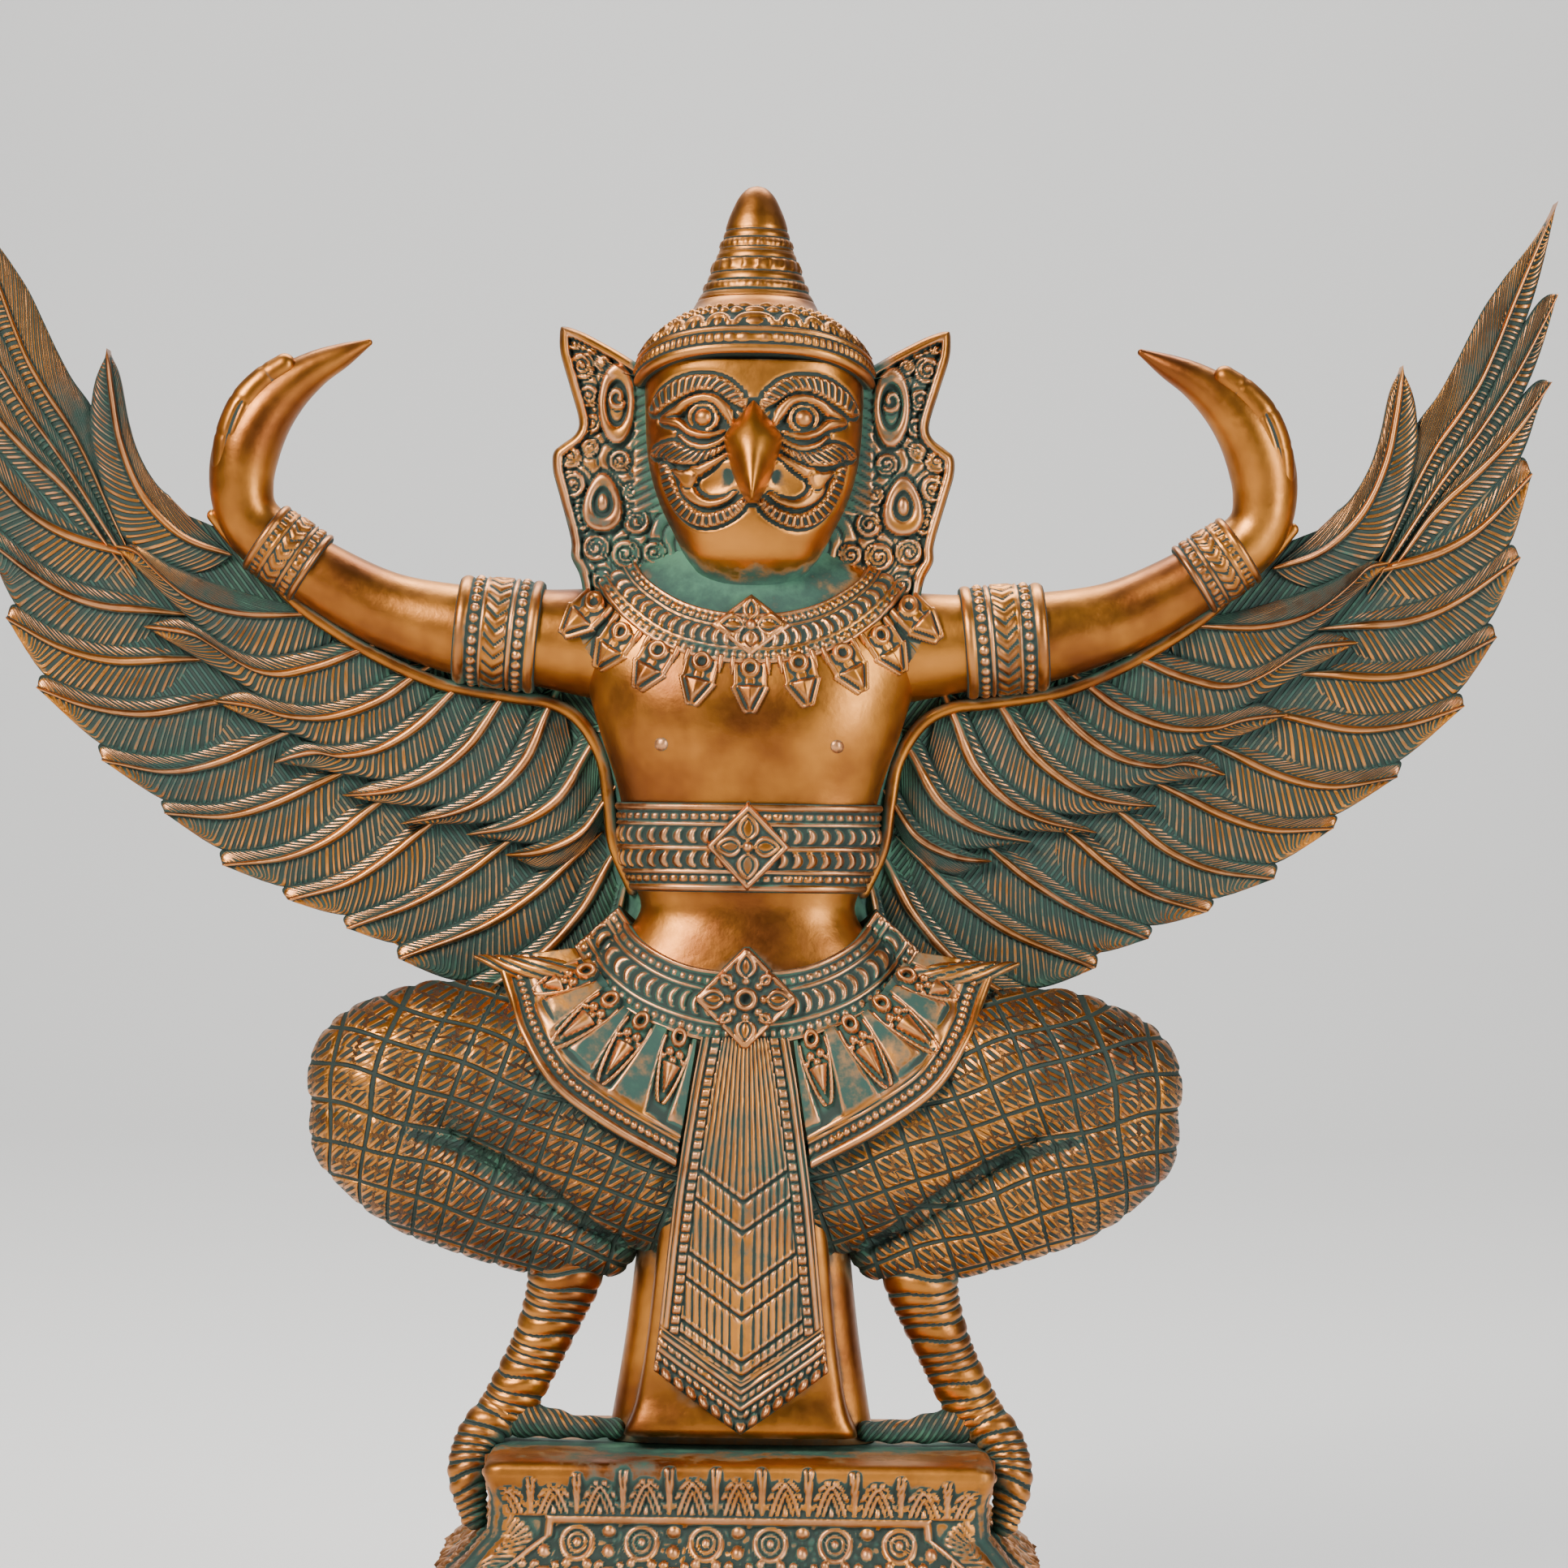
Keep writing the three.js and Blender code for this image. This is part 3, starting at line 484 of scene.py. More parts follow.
CREST_TOP = [(133, 234), (138.4, 234.4), (145.6, 238.2), (151, 246.7), (153.8, 255.1), (156, 265.8),
             (158.8, 272.8)]
CREST_FOOT = [(122, 212), (136, 216.5), (146, 220.4), (154, 226), (158, 234), (161, 243), (162.8, 252.6),
              (162.4, 261), (161, 268), (159, 272.8)]
COVERT_TOP = [(119, 216), (129, 215.4), (139, 218), (147, 222), (152.4, 226.4), (156.8, 225)]
COVERT_FOOT = [(34, 156), (40, 149), (50, 146), (60, 147)]
PRIMARY_TOP = [(155, 236), (160, 250), (164.4, 261), (168.3, 265.7), (173.2, 275.2), (179, 287.1),
               (187, 299), (196, 312.9)]
LONG_FOOT = [(146, 218), (158, 223), (168.5, 231), (179, 240), (188, 250), (194.4, 266)]
SHORT_TOP = [(142, 221), (156, 225), (168, 230), (178, 238.5), (190.8, 254)]
PRIMARY_FOOT = [(27, 138), (28, 126), (32, 112), (40, 99)]
WING_BORDER = [(28.4, 141.4), (33.1, 152.2), (34.7, 163), (36.6, 173.8), (42.1, 182.8), (49.4, 187),
               (57.8, 188.2), (69.8, 190), (79.5, 192.4), (93.9, 199), (108.3, 208), (118, 216.4),
               (127.6, 225.9), (132.5, 231.9)]
SHEET_TOP = [(16, 192), (36, 197), (60, 201), (84, 205), (104, 211), (120, 220), (130, 228), (139, 232),
             (146, 236), (151, 243), (155.5, 250)]
SHEET_FOOT = [(24, 108), (48, 108), (70, 117), (92, 130), (114, 142), (136, 157), (158, 176), (176, 200),
              (184, 226), (190, 262)]


def swept(points):
    """The wing bowed forward toward its tip."""
    out = np.clip(points[..., 0] - WING_ROOT, 0, None) / (WING_SPAN - WING_ROOT)
    points[..., 1] -= WING_SWEEP * out ** 2
    return points


def along_line(points, share):
    """Places on the smooth line through the points, at shares of its length."""
    line = smooth(points)
    run = lengths(line, 2)
    return read_off(share * run[-1], run, line)


def feather(casting, shaft, upper, lower, front, back, form):
    """One feather, with its rows laid along its barbs: a smooth shaft between two engraved vanes."""
    stem, tip_from, tip_power = form
    length = lengths(smooth(shaft), 2)[-1]
    row = np.arange(int(length / BARB_PITCH) * BARB_ROWS + 1.0)
    wander = 0.5 * np.sin(row * 0.37) + 0.25 * np.sin(row * 1.3 + length)
    start = risen(row + wander, row[-1])[:, None]

    def narrow(share):
        return 1 - risen(share - tip_from, 1 - tip_from) ** tip_power + 0.02

    def width_to(edge):
        return np.linalg.norm(along_line(edge, start) - along_line(shaft, start), axis=-1) * narrow(start)

    def place(edge, part):
        """Points at parts of the way from the shaft to one edge, leaning to the tip as the barbs do."""
        across = part * width_to(edge)
        lean = BARB_SLANT * across * risen((1 - start) * length, ROOT_LENGTH)
        share = np.clip(start + lean / length, 0, 1)
        middle = along_line(shaft, share)
        face = middle + (along_line(edge, share) - middle) * (part * narrow(share))[..., None]
        return face, across, share

    stem_here = stem * (0.55 + 0.45 * np.sin(np.pi * np.clip(start * 1.08, 0, 1)) ** 0.6)

    def half_feather(edge):
        """Points from the shaft to one edge, with their relief and the depth of the barbs' strokes."""
        width = width_to(edge)
        near = np.minimum(stem_here * STEM_COLUMNS / width, STEM_COLUMNS / STEM_COLUMNS[-1] * 0.7)
        count = max(2, round((width.max() - stem * 1.5) / VANE_STEP))
        far = near[:, -1:] + (1 - near[:, -1:]) * (np.arange(count) + 1) / count
        part = np.hstack([near, far])
        face, across, share = place(edge, part)
        vane = risen(across / stem_here - 1.15, 0.3) * risen(width * (1 - part), 0.7)
        vane = vane * np.clip((1 - share) * length / WORN_TIP, 0.12, 1)
        beside_stem = np.clip(1 - np.abs(across / stem_here - 1.3) / 0.3, 0, 1)
        lift = 1.25 * dome(across, stem_here) - 0.35 * beside_stem
        lift = lift + 0.7 * (1 - part ** 2) - 1.0 * part ** 6
        lift = lift - 0.26 * (1 - np.abs(np.sin(np.pi * row[:, None] / BARB_ROWS))) * vane
        return face, lift, vane

    middle = (along_line(shaft, start), np.full(start.shape, 1.95), np.zeros(start.shape))
    sides = zip(half_feather(upper), middle, half_feather(lower))
    face, lift, vane = (np.concatenate([above[:, ::-1], between_them, below], 1)
                        for above, between_them, below in sides)
    depth = front + ROOT_SINK * np.clip(1 - start * length / ROOT_LENGTH, 0, 1) - lift
    points = stacked(face[..., 0], depth, face[..., 1])
    part = np.tile([0.9, 0.45], (len(row), 1))
    behind = np.concatenate([place(lower, part)[0], middle[0], place(upper, part[:, ::-1])[0]], 1)
    rear = stacked(behind[..., 0], back + 0.6 * np.array([0.1, 0.5, 1, 0.5, 0.1]), behind[..., 1])
    casting.slab(swept(points), swept(rear), lift, blur=3, phase=row[:, None] / BARB_ROWS, strokes=vane,
                 age=VANE_AGE * vane)


def feather_row(casting, shafts, top, foot, front, back, form, lead=LEAD_VANE):
    """Feathers side by side, each with a narrow vane above its shaft and a wide one below."""
    youngest, oldest = FEATHER_AGES
    shares = np.linspace(0, 1, 12)
    top, foot, *drawn = (along_line(line, shares) for line in (top, foot, *shafts))
    for i, shaft in enumerate(drawn):
        upper = mixed(shaft, drawn[i - 1], lead) if i else top
        lower = mixed(shaft, drawn[i + 1], 1.05 - lead) if i + 1 < len(drawn) else foot
        casting.age = youngest + (oldest - youngest) * i / len(drawn) + 0.1 * math.sin(i * 2.4)
        feather(casting, shaft, upper, lower, front - 0.35 * (i % 2), back, form)


def tucked(shaft, length):
    """The shaft, begun some way under the feathers that cover its root."""
    (x, z), (next_x, next_z) = shaft[:2]
    share = length / math.hypot(next_x - x, next_z - z)
    return [(x + (x - next_x) * share, z + (z - next_z) * share), *shaft]


def wing(casting):
    primaries = [tucked(shaft, UNDER_COVERTS) for shaft in PRIMARIES]
    coverts = [tucked(shaft, UNDER_BORDER) for shaft in COVERTS]
    feather_row(casting, primaries[:3], PRIMARY_TOP, LONG_FOOT, PRIMARY_FRONT, WING_BACK, LONG_FORM,
                LONG_LEAD_VANE)
    feather_row(casting, primaries[3:], SHORT_TOP, PRIMARY_FOOT, PRIMARY_FRONT, WING_BACK, SHORT_FORM)
    casting.age = AGE["crest"]
    feather(casting, CREST, CREST_TOP, CREST_FOOT, COVERT_FRONT, COVERT_FRONT + CREST_THICK, CREST_FORM)
    feather_row(casting, coverts, COVERT_TOP, COVERT_FOOT, COVERT_FRONT, COVERT_FRONT + COVERT_THICK,
                COVERT_FORM)
    casting.age = AGE["wing border"]
    border = [(x, PRIMARY_FRONT - BORDER_RAISED, z, BORDER_RADIUS) for x, z in WING_BORDER]
    base, _, _ = tube(border, spacing=FINE * 1.5)
    casting.ring(swept(base))
    casting.age = AGE["wing sheet"]
    wing_sheet(casting)


def wing_sheet(casting):
    """The plain ground that the feathers lie on."""
    share = np.linspace(0, 1, 50)
    top, foot = along_line(SHEET_TOP, share), along_line(SHEET_FOOT, share)
    x, z = np.moveaxis(mixed(top[:, None], foot[:, None], np.linspace(0, 1, 24)[None, :, None]), -1, 0)
    front = stacked(x, SHEET_FRONT, z)
    rear = front[:, ::-1] * [1, 0, 1] + [0, WING_BACK - 0.6, 0]
    phase = (x * 0.8 - z * 0.6) / BARB_PITCH
    casting.slab(swept(front), swept(rear), np.zeros(x.shape), phase=phase, strokes=1)


# Trunk: torso, belt, necklace, girdle

TORSO = Loft([
    (78, 22, -20, 18), (84, 36, -24, 20), (96, 45, -26, 20), (108, 45, -25, 18), (118, 40, -22.5, 17),
    (128, 32, -20.5, 15), (136, 26.5, -19, 14), (142, 27.5, -19.5, 14.5), (150, 30.5, -20, 15),
    (163.5, 31.5, -20.5, 15), (180, 36.5, -23, 17), (195, 41, -22, 18), (208, 43.5, -18, 17),
    (218, 36, -13, 14), (226, 20, -10, 11),
])
BELT_LOW, BELT_MIDDLE, BELT_HIGH = 141.5, 152.6, 163.2
BELT_WIDTH, BELT_RAISED = 21.7, 0.8
BELT_ROWS = [(0, 2.2, cord), (2.2, 4.4, dashes, 2.5), (4.4, 5.6, cord), (5.8, 9.9, crescents, 3.4),
             (9.9, 11.3, cord), (11.5, 15.6, crescents, 3.4), (15.8, 17, cord),
             (17, 19.2, dashes, 2.5), (19.4, 21.7, cord)]
ARM_AXIS = np.array([(30, 202), (52, 203), (72, 205), (90, 209.5)])
MIDDLE_DEPTH = 1.0


def body_front(x, z):
    """The front of the torso and of the upper arms where they join it."""
    axis_z = np.interp(np.abs(x), ARM_AXIS[:, 0], ARM_AXIS[:, 1])
    radius = np.interp(np.abs(x), [30, 52], [14.5, 12])
    arm = -1 - radius * np.sqrt(np.clip(1 - ((z - axis_z) / radius) ** 2, 0, 1))
    arm = np.where(np.abs(z - axis_z) < radius, arm, MIDDLE_DEPTH)
    torso = np.where(np.abs(x) < TORSO.size(z)[0] * 0.985, TORSO.front(x, z), MIDDLE_DEPTH)
    return np.minimum(torso, arm)


def chest(x, z):
    """Soft chest muscles."""
    across = np.hypot(x, 6)
    return 1.8 * np.exp(-((across - 18) / 15) ** 2 - ((z - 186) / 13) ** 2)


def skin(x, z):
    return body_front(x, z) - chest(x, z)


def nipple(a, b):
    r = np.hypot(a, b)
    return 0.3 * flat(r, 1.7, 0.6) + 0.5 * dome(r, 1.1)


def laid(surface, centre, toward=(0, -1)):
    """Places on a surface, from lengths along a direction and across it."""
    (cx, cz), (ex, ez) = centre, toward

    def place(a, b):
        x, z = cx + ex * a - ez * b, cz + ez * a + ex * b
        return np.stack([x, surface(x, z), z], -1)
    return place


SUNK_AGE = 0.5
SHOWN_FROM = 0.3


def stamp(casting, place, span, half, relief, anchor, both=False, sink=1.0):
    """A small carved plate: relief(a, b) over lengths along and across it, out of sight where it is 0."""
    step = FINE * 0.6
    along, across = np.arange(span[0], span[1] + step, step), np.arange(-half, half + step, step)
    a, b = np.meshgrid(along, across, indexing="ij")
    lift = relief(a, b)
    sunk_age = np.where(lift < SHOWN_FROM, SUNK_AGE, 0)
    casting.patch(place(a, b), lift + mixed(-sink, 0.4, risen(lift, SHOWN_FROM)), anchor, both, age=sunk_age)


def leaf_outline(along, across, length, half):
    """How far inside a pointed leaf each place is, from its foot at 0 to its tip."""
    share = risen(along, length)
    return half * np.sin(np.pi * share ** 0.8) ** 0.75 - np.abs(across)


def four_petals(half_a, half_b):
    """A diamond plate with a rim, four outlined petals and a boss."""
    def relief(a, b):
        inside = (1 - np.abs(a) / half_a - np.abs(b) / half_b) * min(half_a, half_b) * 0.75
        lift = 0.9 * flat(np.maximum(-inside, 0), 0.1) * (inside > -0.3) + 0.8 * dome(inside - 0.8, 0.75)
        for along, across, reach in ((np.abs(a), b, half_a), (np.abs(b), a, half_b)):
            depth = leaf_outline(along - 1.5, across, reach * 0.62, reach * 0.2 + 0.7)
            petal = 0.9 * dome(depth - 0.7, 0.7) + 0.9 * np.clip(depth - 1.3, 0, 0.6)
            lift = lift + np.where(depth > 0, petal, 0)
        return np.where(inside > 0, lift + 1.5 * dome(np.hypot(a, b), 1.5), lift * (inside > -0.3))
    return relief


def hanging(a, b):
    """A ringed boss over an arrowhead that points down, between two thin leaves on a sunk ground."""
    r = np.hypot(a, b)
    boss = 0.9 * flat(r, 2.4, 0.5) + 0.7 * dome(r - 1.75, 0.8) - 1.0 * flat(r, 0.9, 0.5)
    neck = 0.9 * flat(b, 1.2, 0.5) * (a > 1.8) * (a < ARROW_TOP + 0.4)
    half = ARROW_HALF * np.clip((ARROW_TIP - a) / (ARROW_TIP - ARROW_TOP), 0, 1)
    below = risen(a - ARROW_TOP, 0.5)
    ridge = 0.8 * risen(half, 1.5) * (1 - np.abs(b) / (half + 0.3))
    arrow = (1.2 + ridge) * risen(half - np.abs(b), 0.5) * below
    edge = mixed(2.5, half, below)
    ends = risen(a + 1.8, 0.6) * risen(ARROW_TIP + 0.4 - a, 0.6)
    leaves = 0.6 * dome(np.abs(b) - edge - 1.1, 0.6)
    plate = 0.3 * risen(edge + 1.7 - np.abs(b), 0.5)
    return np.maximum.reduce([boss, neck, arrow, leaves * ends, plate * ends])


def tear(a, b):
    """A thin tear-shaped leaf, pointed below."""
    return 1.0 * dome(b, 0.9 * np.clip((2.6 - a) / 3.2, 0.02, 1)) * (a > -2.3)


COLLAR_INNER = [(-29, 223), (-25, 217), (-17.5, 212), (-9, 209.4), (0, 208.8), (9, 209.4), (17.5, 212),
                (25, 217), (29, 223)]
COLLAR_OUTER = [(-40, 219), (-35, 211.5), (-28.6, 205.4), (-21.8, 200.8), (-12, 197.4), (0, 196.2),
                (12, 197.4), (21.8, 200.8), (28.6, 205.4), (35, 211.5), (40, 219)]
COLLAR_WIDTH = 12.6
COLLAR_ROWS = [(0, 1.2, cord), (1.2, 3.3, beading, 2.1), (3.3, 4.2, cord), (4.2, 8.6, crescents, 3.1),
               (8.6, 9.4, cord), (9.4, 11.5, beading, 2.1), (11.5, 12.6, cord)]
NECK_DROPS = [((0, 195.4), (0, 184.8)), ((11.6, 196.8), (14.2, 186)), ((22, 199.4), (27.4, 189.8)),
              ((31.2, 204), (37.7, 194.4)), ((38.2, 210.8), (46, 203.2))]
ARROW_TOP, ARROW_TIP, ARROW_HALF = 4.0, 10.6, 3.4
TEARS_AT = (0.37, 0.63)


def necklace(casting):
    rows = int(COLLAR_WIDTH / (FINE * 0.75))
    base, along, down, rim = between(COLLAR_INNER, COLLAR_OUTER, rows, body_front)
    from_middle = np.abs(along - along.max() / 2)
    lift = rim * 1.1 + rows_of_carving(from_middle, down, COLLAR_WIDTH, COLLAR_ROWS) * 0.85
    casting.patch(base, lift, (0, 0, 205))

    casting.age = AGE["neck drops"]

    def hang(start, end, span, half, relief):
        """One small form hung at the start, pointing to the end, on both sides of the middle."""
        length = math.dist(start, end)
        for side in (1, -1) if start[0] else (1,):
            toward = (side * (end[0] - start[0]) / length, (end[1] - start[1]) / length)
            place = laid(skin, (side * start[0], start[1]), toward)
            stamp(casting, place, span, half, relief, (side * start[0] * 0.8, -4, start[1]))
    for start, end in NECK_DROPS:
        hang(start, end, (-2.8, ARROW_TIP + 1), 5.4, hanging)
    for here, following in zip(NECK_DROPS, NECK_DROPS[1:]):
        for share in TEARS_AT:
            start, end = (tuple(mixed(np.array(a), np.array(b), share)) for a, b in zip(here, following))
            hang(start, end, (-2.6, 2.8), 1.3, tear)
    casting.age = AGE["collar flower"]
    stamp(casting, laid(body_front, (0, 205.6)), (-8, 8), 10.4, four_petals(7.6, 10), (0, -4, 205))


FILLET_LEVELS = (108, 181)
FILLET_ACROSS = (-3, 9)
FILLET_DEPTH = (-8, 4)


def fillet(casting):
    """The ground that fills the corner between the side of the trunk and the wing."""
    z, share = np.meshgrid(np.arange(*FILLET_LEVELS, 2.0), np.linspace(0, 1, 9), indexing="ij")
    x = TORSO.size(z)[0] + mixed(*FILLET_ACROSS, share)
    y = mixed(*FILLET_DEPTH, 1 - (1 - share) ** 3)
    front, rear = stacked(x, y, z), stacked(x, y + 3, z)[:, ::-1]
    casting.slab(front, rear, np.zeros(x.shape), both=True)


def torso(casting):
    base = TORSO.grid(spacing=FINE * 2.2)
    from_neck = np.hypot(base[..., 0] * 0.75, base[..., 2] - 219)
    aged = 1.1 * risen(25 - from_neck, 9) + 0.25 * risen(112 - base[..., 2], 10)
    casting.age = AGE["skin"]
    casting.ring(base, chest(base[..., 0], base[..., 2]) * (base[..., 1] < 0), age=aged)
    casting.age = AGE["nipples"]
    for side in (1, -1):
        stamp(casting, laid(skin, (side * 21.2, 177)), (-2.4, 2.4), 2.4, nipple, (side * 18, -4, 177))
    casting.age = AGE["collar"]
    necklace(casting)
    casting.age = AGE["belt"]
    belt(casting)
    casting.age = AGE["fillet"]
    fillet(casting)


def belt(casting):
    """A carved belt that runs on plain behind, with a flower plate over its middle."""
    base = TORSO.grid(BELT_LOW, BELT_HIGH, FINE * 0.8)
    x, y, z = np.moveaxis(base, -1, 0)
    run = np.cumsum(np.linalg.norm(np.diff(base, axis=1, append=base[:, :1]), axis=2), axis=1)
    middle = np.argmin(np.abs(x[0]) + (y[0] > 0) * 99)
    lift = rows_of_carving(np.abs(run - run[:, [middle]]), (z - BELT_LOW) / BELT_WIDTH, BELT_WIDTH, BELT_ROWS)
    casting.ring(base, BELT_RAISED + lift * risen(6 - y, 3))
    raised = laid(lambda x, z: TORSO.front(x, z) - BELT_RAISED - 1, (0, BELT_MIDDLE))
    stamp(casting, raised, (-11, 11), 10.6, four_petals(10.6, 10), (0, -4, BELT_MIDDLE), sink=3.5)


# The girdle, and the cloth below it with its hem and drops

GIRDLE_INNER = [(31.5, 137.5), (28.4, 133), (24, 128.6), (14, 124), (0, 122)]
GIRDLE_OUTER = [(42.6, 127.4), (39.4, 122.4), (34, 116.5), (25.5, 110.6), (12, 106), (0, 104.6)]
GIRDLE_WIDTH = 15
GIRDLE_ROWS = [(0, 1.5, cord), (1.9, 3.9, dashes, 2.6), (4.1, 4.9, cord), (5.3, 10.3, crescents, 3.3),
               (10.7, 11.5, cord), (11.8, 13.8, beading, 2.3), (14.1, 15, cord)]
FLOWER_CENTRE = (0, 116.2)
FLOWER_HALF, FLOWER_RAISED, GIRDLE_FRONT = 12.3, 2.6, -24.5
CLOTH_TOP = [(41.6, -17, 127), (35, -21.5, 118), (26, -24.2, 111.5), (11.6, -25.5, 106)]
CLOTH_HEM = [(61, -14.5, 124.6), (57.4, -19.5, 115), (54, -26.4, 106.4), (46, -31, 94.6),
             (32.4, -30.2, 84.6), (16.4, -27.4, 75.6)]
CLOTH_LENGTH, HEM_WIDTH = 75, 8.4
CLOTH_ANCHOR = (25, -2, 100)
SKIRT_DROPS = [(0.17, 0.56), (0.41, 0.66), (0.64, 0.6), (0.89, 0.5)]
DROP_HALF, DROP_START = 3.4, 0.03
GATHER = [(38, -17, 121.6, 2.4), (48, -18, 122, 3.4), (57, -16.4, 122.8, 2.8), (65.6, -13.4, 124.6, 0.9)]


def cloth_place(along, down):
    """Places on the draped cloth, at shares along the girdle and down to the hem."""
    count = 60
    share = np.linspace(0, 1, count)
    top, hem = (read_off(along, share, resample(line, 1, 3, count)[1]) for line in (CLOTH_TOP, CLOTH_HEM))
    place = top + (hem - top) * down[..., None]
    place[..., 1] -= 4.5 * down * (1 - down)
    return place


def gathered(run, around, *_):
    """Slanting folds of gathered cloth."""
    return 0.7 * strokes(around + 0.3 * run, 2.4), {}


def skirt(casting):
    """The draped cloth: plain panels between ridges, and a hem of cords with square beads between them."""
    down = np.concatenate([np.linspace(0, 0.72, 14), np.linspace(0.74, 1, int(9 / (FINE * 0.75)))])
    along, down = np.meshgrid(np.linspace(0, 1, int(CLOTH_LENGTH / (FINE * 0.85))), down)
    base = cloth_place(along, down)
    run = along * CLOTH_LENGTH
    from_hem = (1 - down) * np.linalg.norm(base[-1] - base[0], axis=1)[None]
    hem = 1.5 * dome(from_hem - 1.3, 1.3) + 0.8 * dome(from_hem - 6.4, 0.5) + 1.1 * dome(from_hem - 7.6, 0.7)
    hem = hem + beads(run, from_hem - 4.3, 2.2, 1.15) * flat(from_hem - 4.3, 1.3)
    from_drop = np.min([np.abs(along - share) for share, _ in SKIRT_DROPS], axis=0) * CLOTH_LENGTH
    fold = risen(from_drop - 1.5 - 4.5 * (1 - down), 0.8) * risen(from_hem - HEM_WIDTH, 0.8)
    aged = np.where(from_hem > HEM_WIDTH, 0.85 - 0.3 * fold, 0)
    casting.age = AGE["cloth"]
    casting.patch(base, hem + 1.1 * fold, CLOTH_ANCHOR, both=True, age=aged)
    casting.age = AGE["gathers"]
    casting.rod(GATHER, gathered)
    for share, end in SKIRT_DROPS:
        drop(casting, share, end)


def drop(casting, share, end):
    """A drop on the cloth: a ringed boss, small curls and a smooth cone, sunk between two ridges."""
    tip, root = cloth_place(np.full(2, share), np.array([end, DROP_START]))
    reach = float(np.linalg.norm(tip - root))

    def place(a, b):
        down = np.clip(DROP_START + a / reach * (end - DROP_START), -0.2, 1)
        return cloth_place(share + b / CLOTH_LENGTH * 1.5, down)

    def relief(a, b):
        r = np.hypot(a, b)
        boss = 0.7 * flat(r, 2.4, 0.5) + 1.0 * dome(r - 1.8, 0.8) - 0.7 * flat(r, 0.9, 0.5)
        curls = [1.1 * dome(np.hypot(a - at, b - side), size) for at, side, size in
                 ((3.9, 1.4, 1.3), (3.9, -1.4, 1.3), (5.8, 0, 1.2), (5.4, 2.6, 0.8), (5.4, -2.6, 0.8))]
        cone_half = 2.4 * np.clip((reach - a) / (reach - 7), 0, 1) * (a > 6.6)
        cone = 2.0 * dome(b, cone_half + 0.01) * (cone_half > 0)
        plate_half = DROP_HALF * np.clip((reach + 2.5 - a) / (reach - 1), 0, 1) ** 0.8
        ridges = 0.8 * dome(np.abs(b) - plate_half - 0.5, 0.55) * (a > 0.5)
        return np.maximum.reduce([boss, cone, ridges, *curls])
    casting.age = AGE["cloth drops"]
    stamp(casting, place, (-3, reach + 2.5), 5, relief, CLOTH_ANCHOR, both=True)


def girdle_flower(a, b):
    """A four-lobed diamond with outlined petals round a ringed boss and a ring of beads."""
    r, turn = np.hypot(a, b), np.arctan2(a, b)
    lobes = FLOWER_HALF * (0.72 + 0.28 * np.abs(np.cos(2 * turn)) ** 1.5)
    inside = np.minimum(FLOWER_HALF * 1.02 - (np.abs(a) + np.abs(b)) * 0.98, lobes - r)
    lift = 0.8 + 0.7 * dome(inside - 0.7, 0.7)
    for along, across in ((np.abs(a), b), (np.abs(b), a)):
        depth = leaf_outline(along - 5, across, 6.2, 2.7)
        lift = lift + np.where(depth > 0, 1.1 * dome(depth - 0.7, 0.7) + 0.8 * np.clip(depth - 1.2, 0, 1), 0)
    slant_a, slant_b = (np.abs(a) + np.abs(b)) * 0.707, (np.abs(a) - np.abs(b)) * 0.707
    depth = leaf_outline(slant_a - 5, slant_b, 3.6, 1.6)
    lift = lift + np.where(depth > 0, 1.2 * dome(depth - 0.8, 0.9), 0)
    ring = 4.3
    lift = lift + beads(turn * ring, r - ring, ring * np.pi / 4, 1.15)
    lift = lift + 1.6 * dome(r - 2.1, 0.95) - 0.5 * flat(r, 1)
    return lift * risen(inside, 0.6)


def girdle(casting):
    rows = int(GIRDLE_WIDTH / (FINE * 0.75))
    base, along, down, rim = between(GIRDLE_INNER, GIRDLE_OUTER, rows, TORSO.front)
    lift = rim * 1.5 + rows_of_carving(along.max() - along, down, GIRDLE_WIDTH, GIRDLE_ROWS) * 0.9
    casting.age = AGE["girdle"]
    casting.patch(base, lift, (10, 0, 118), both=True)
    skirt(casting)
    casting.age = AGE["girdle flower"]
    raised = laid(lambda x, z: np.minimum(TORSO.front(x, z), GIRDLE_FRONT) - FLOWER_RAISED, FLOWER_CENTRE)
    span, anchor = (-FLOWER_HALF, FLOWER_HALF), (0, -4, FLOWER_CENTRE[1])
    stamp(casting, raised, span, FLOWER_HALF, girdle_flower, anchor, sink=10)


# The long front cloth, with the slab and the pillar behind it

APRON = [(107, 10.8, -28), (96, 12.8, -28.8), (88, 14, -29.2), (79, 15.3, -29.4), (68, 16.8, -28.8),
         (57, 18, -27.6), (49, 18.8, -26.4), (39, 19.8, -24.9), (31, 20.7, -24), (24, 21.4, -22.9),
         (5, 22.6, -20.5)]
APRON_WIDTH, APRON_LENGTH, APRON_BORDER = 43, 98, 5.4
APRON_SLOPE, APRON_TIP, FRINGE_HEIGHT = 0.73, 10.2, 13.4
PLEATS, MIDDLE_BAR, SIDE_BAR = 6.5, 2.9, 1.8
SLAB_LOW = 9.7
SLAB = Loft([(3, 27, -16, 2), (9.7, 28.3, -20, 2), (14, 26.6, -20.2, 2), (20, 25, -19, 2),
             (35, 22.8, -19.5, 2), (66, 19.6, -22, 2), (100, 15, -20, 2)], 8)
PILLAR = Loft([(6.5, 33, -10, 18), (14, 31.5, -9.5, 17.5), (36, 28.2, -11, 16.6), (62, 25.5, -12, 16),
               (88, 24, -14, 16)], 4)
FOLD_LINES = (67.5, 60.1, 45.9, 39.2, 28.1, 24.6)


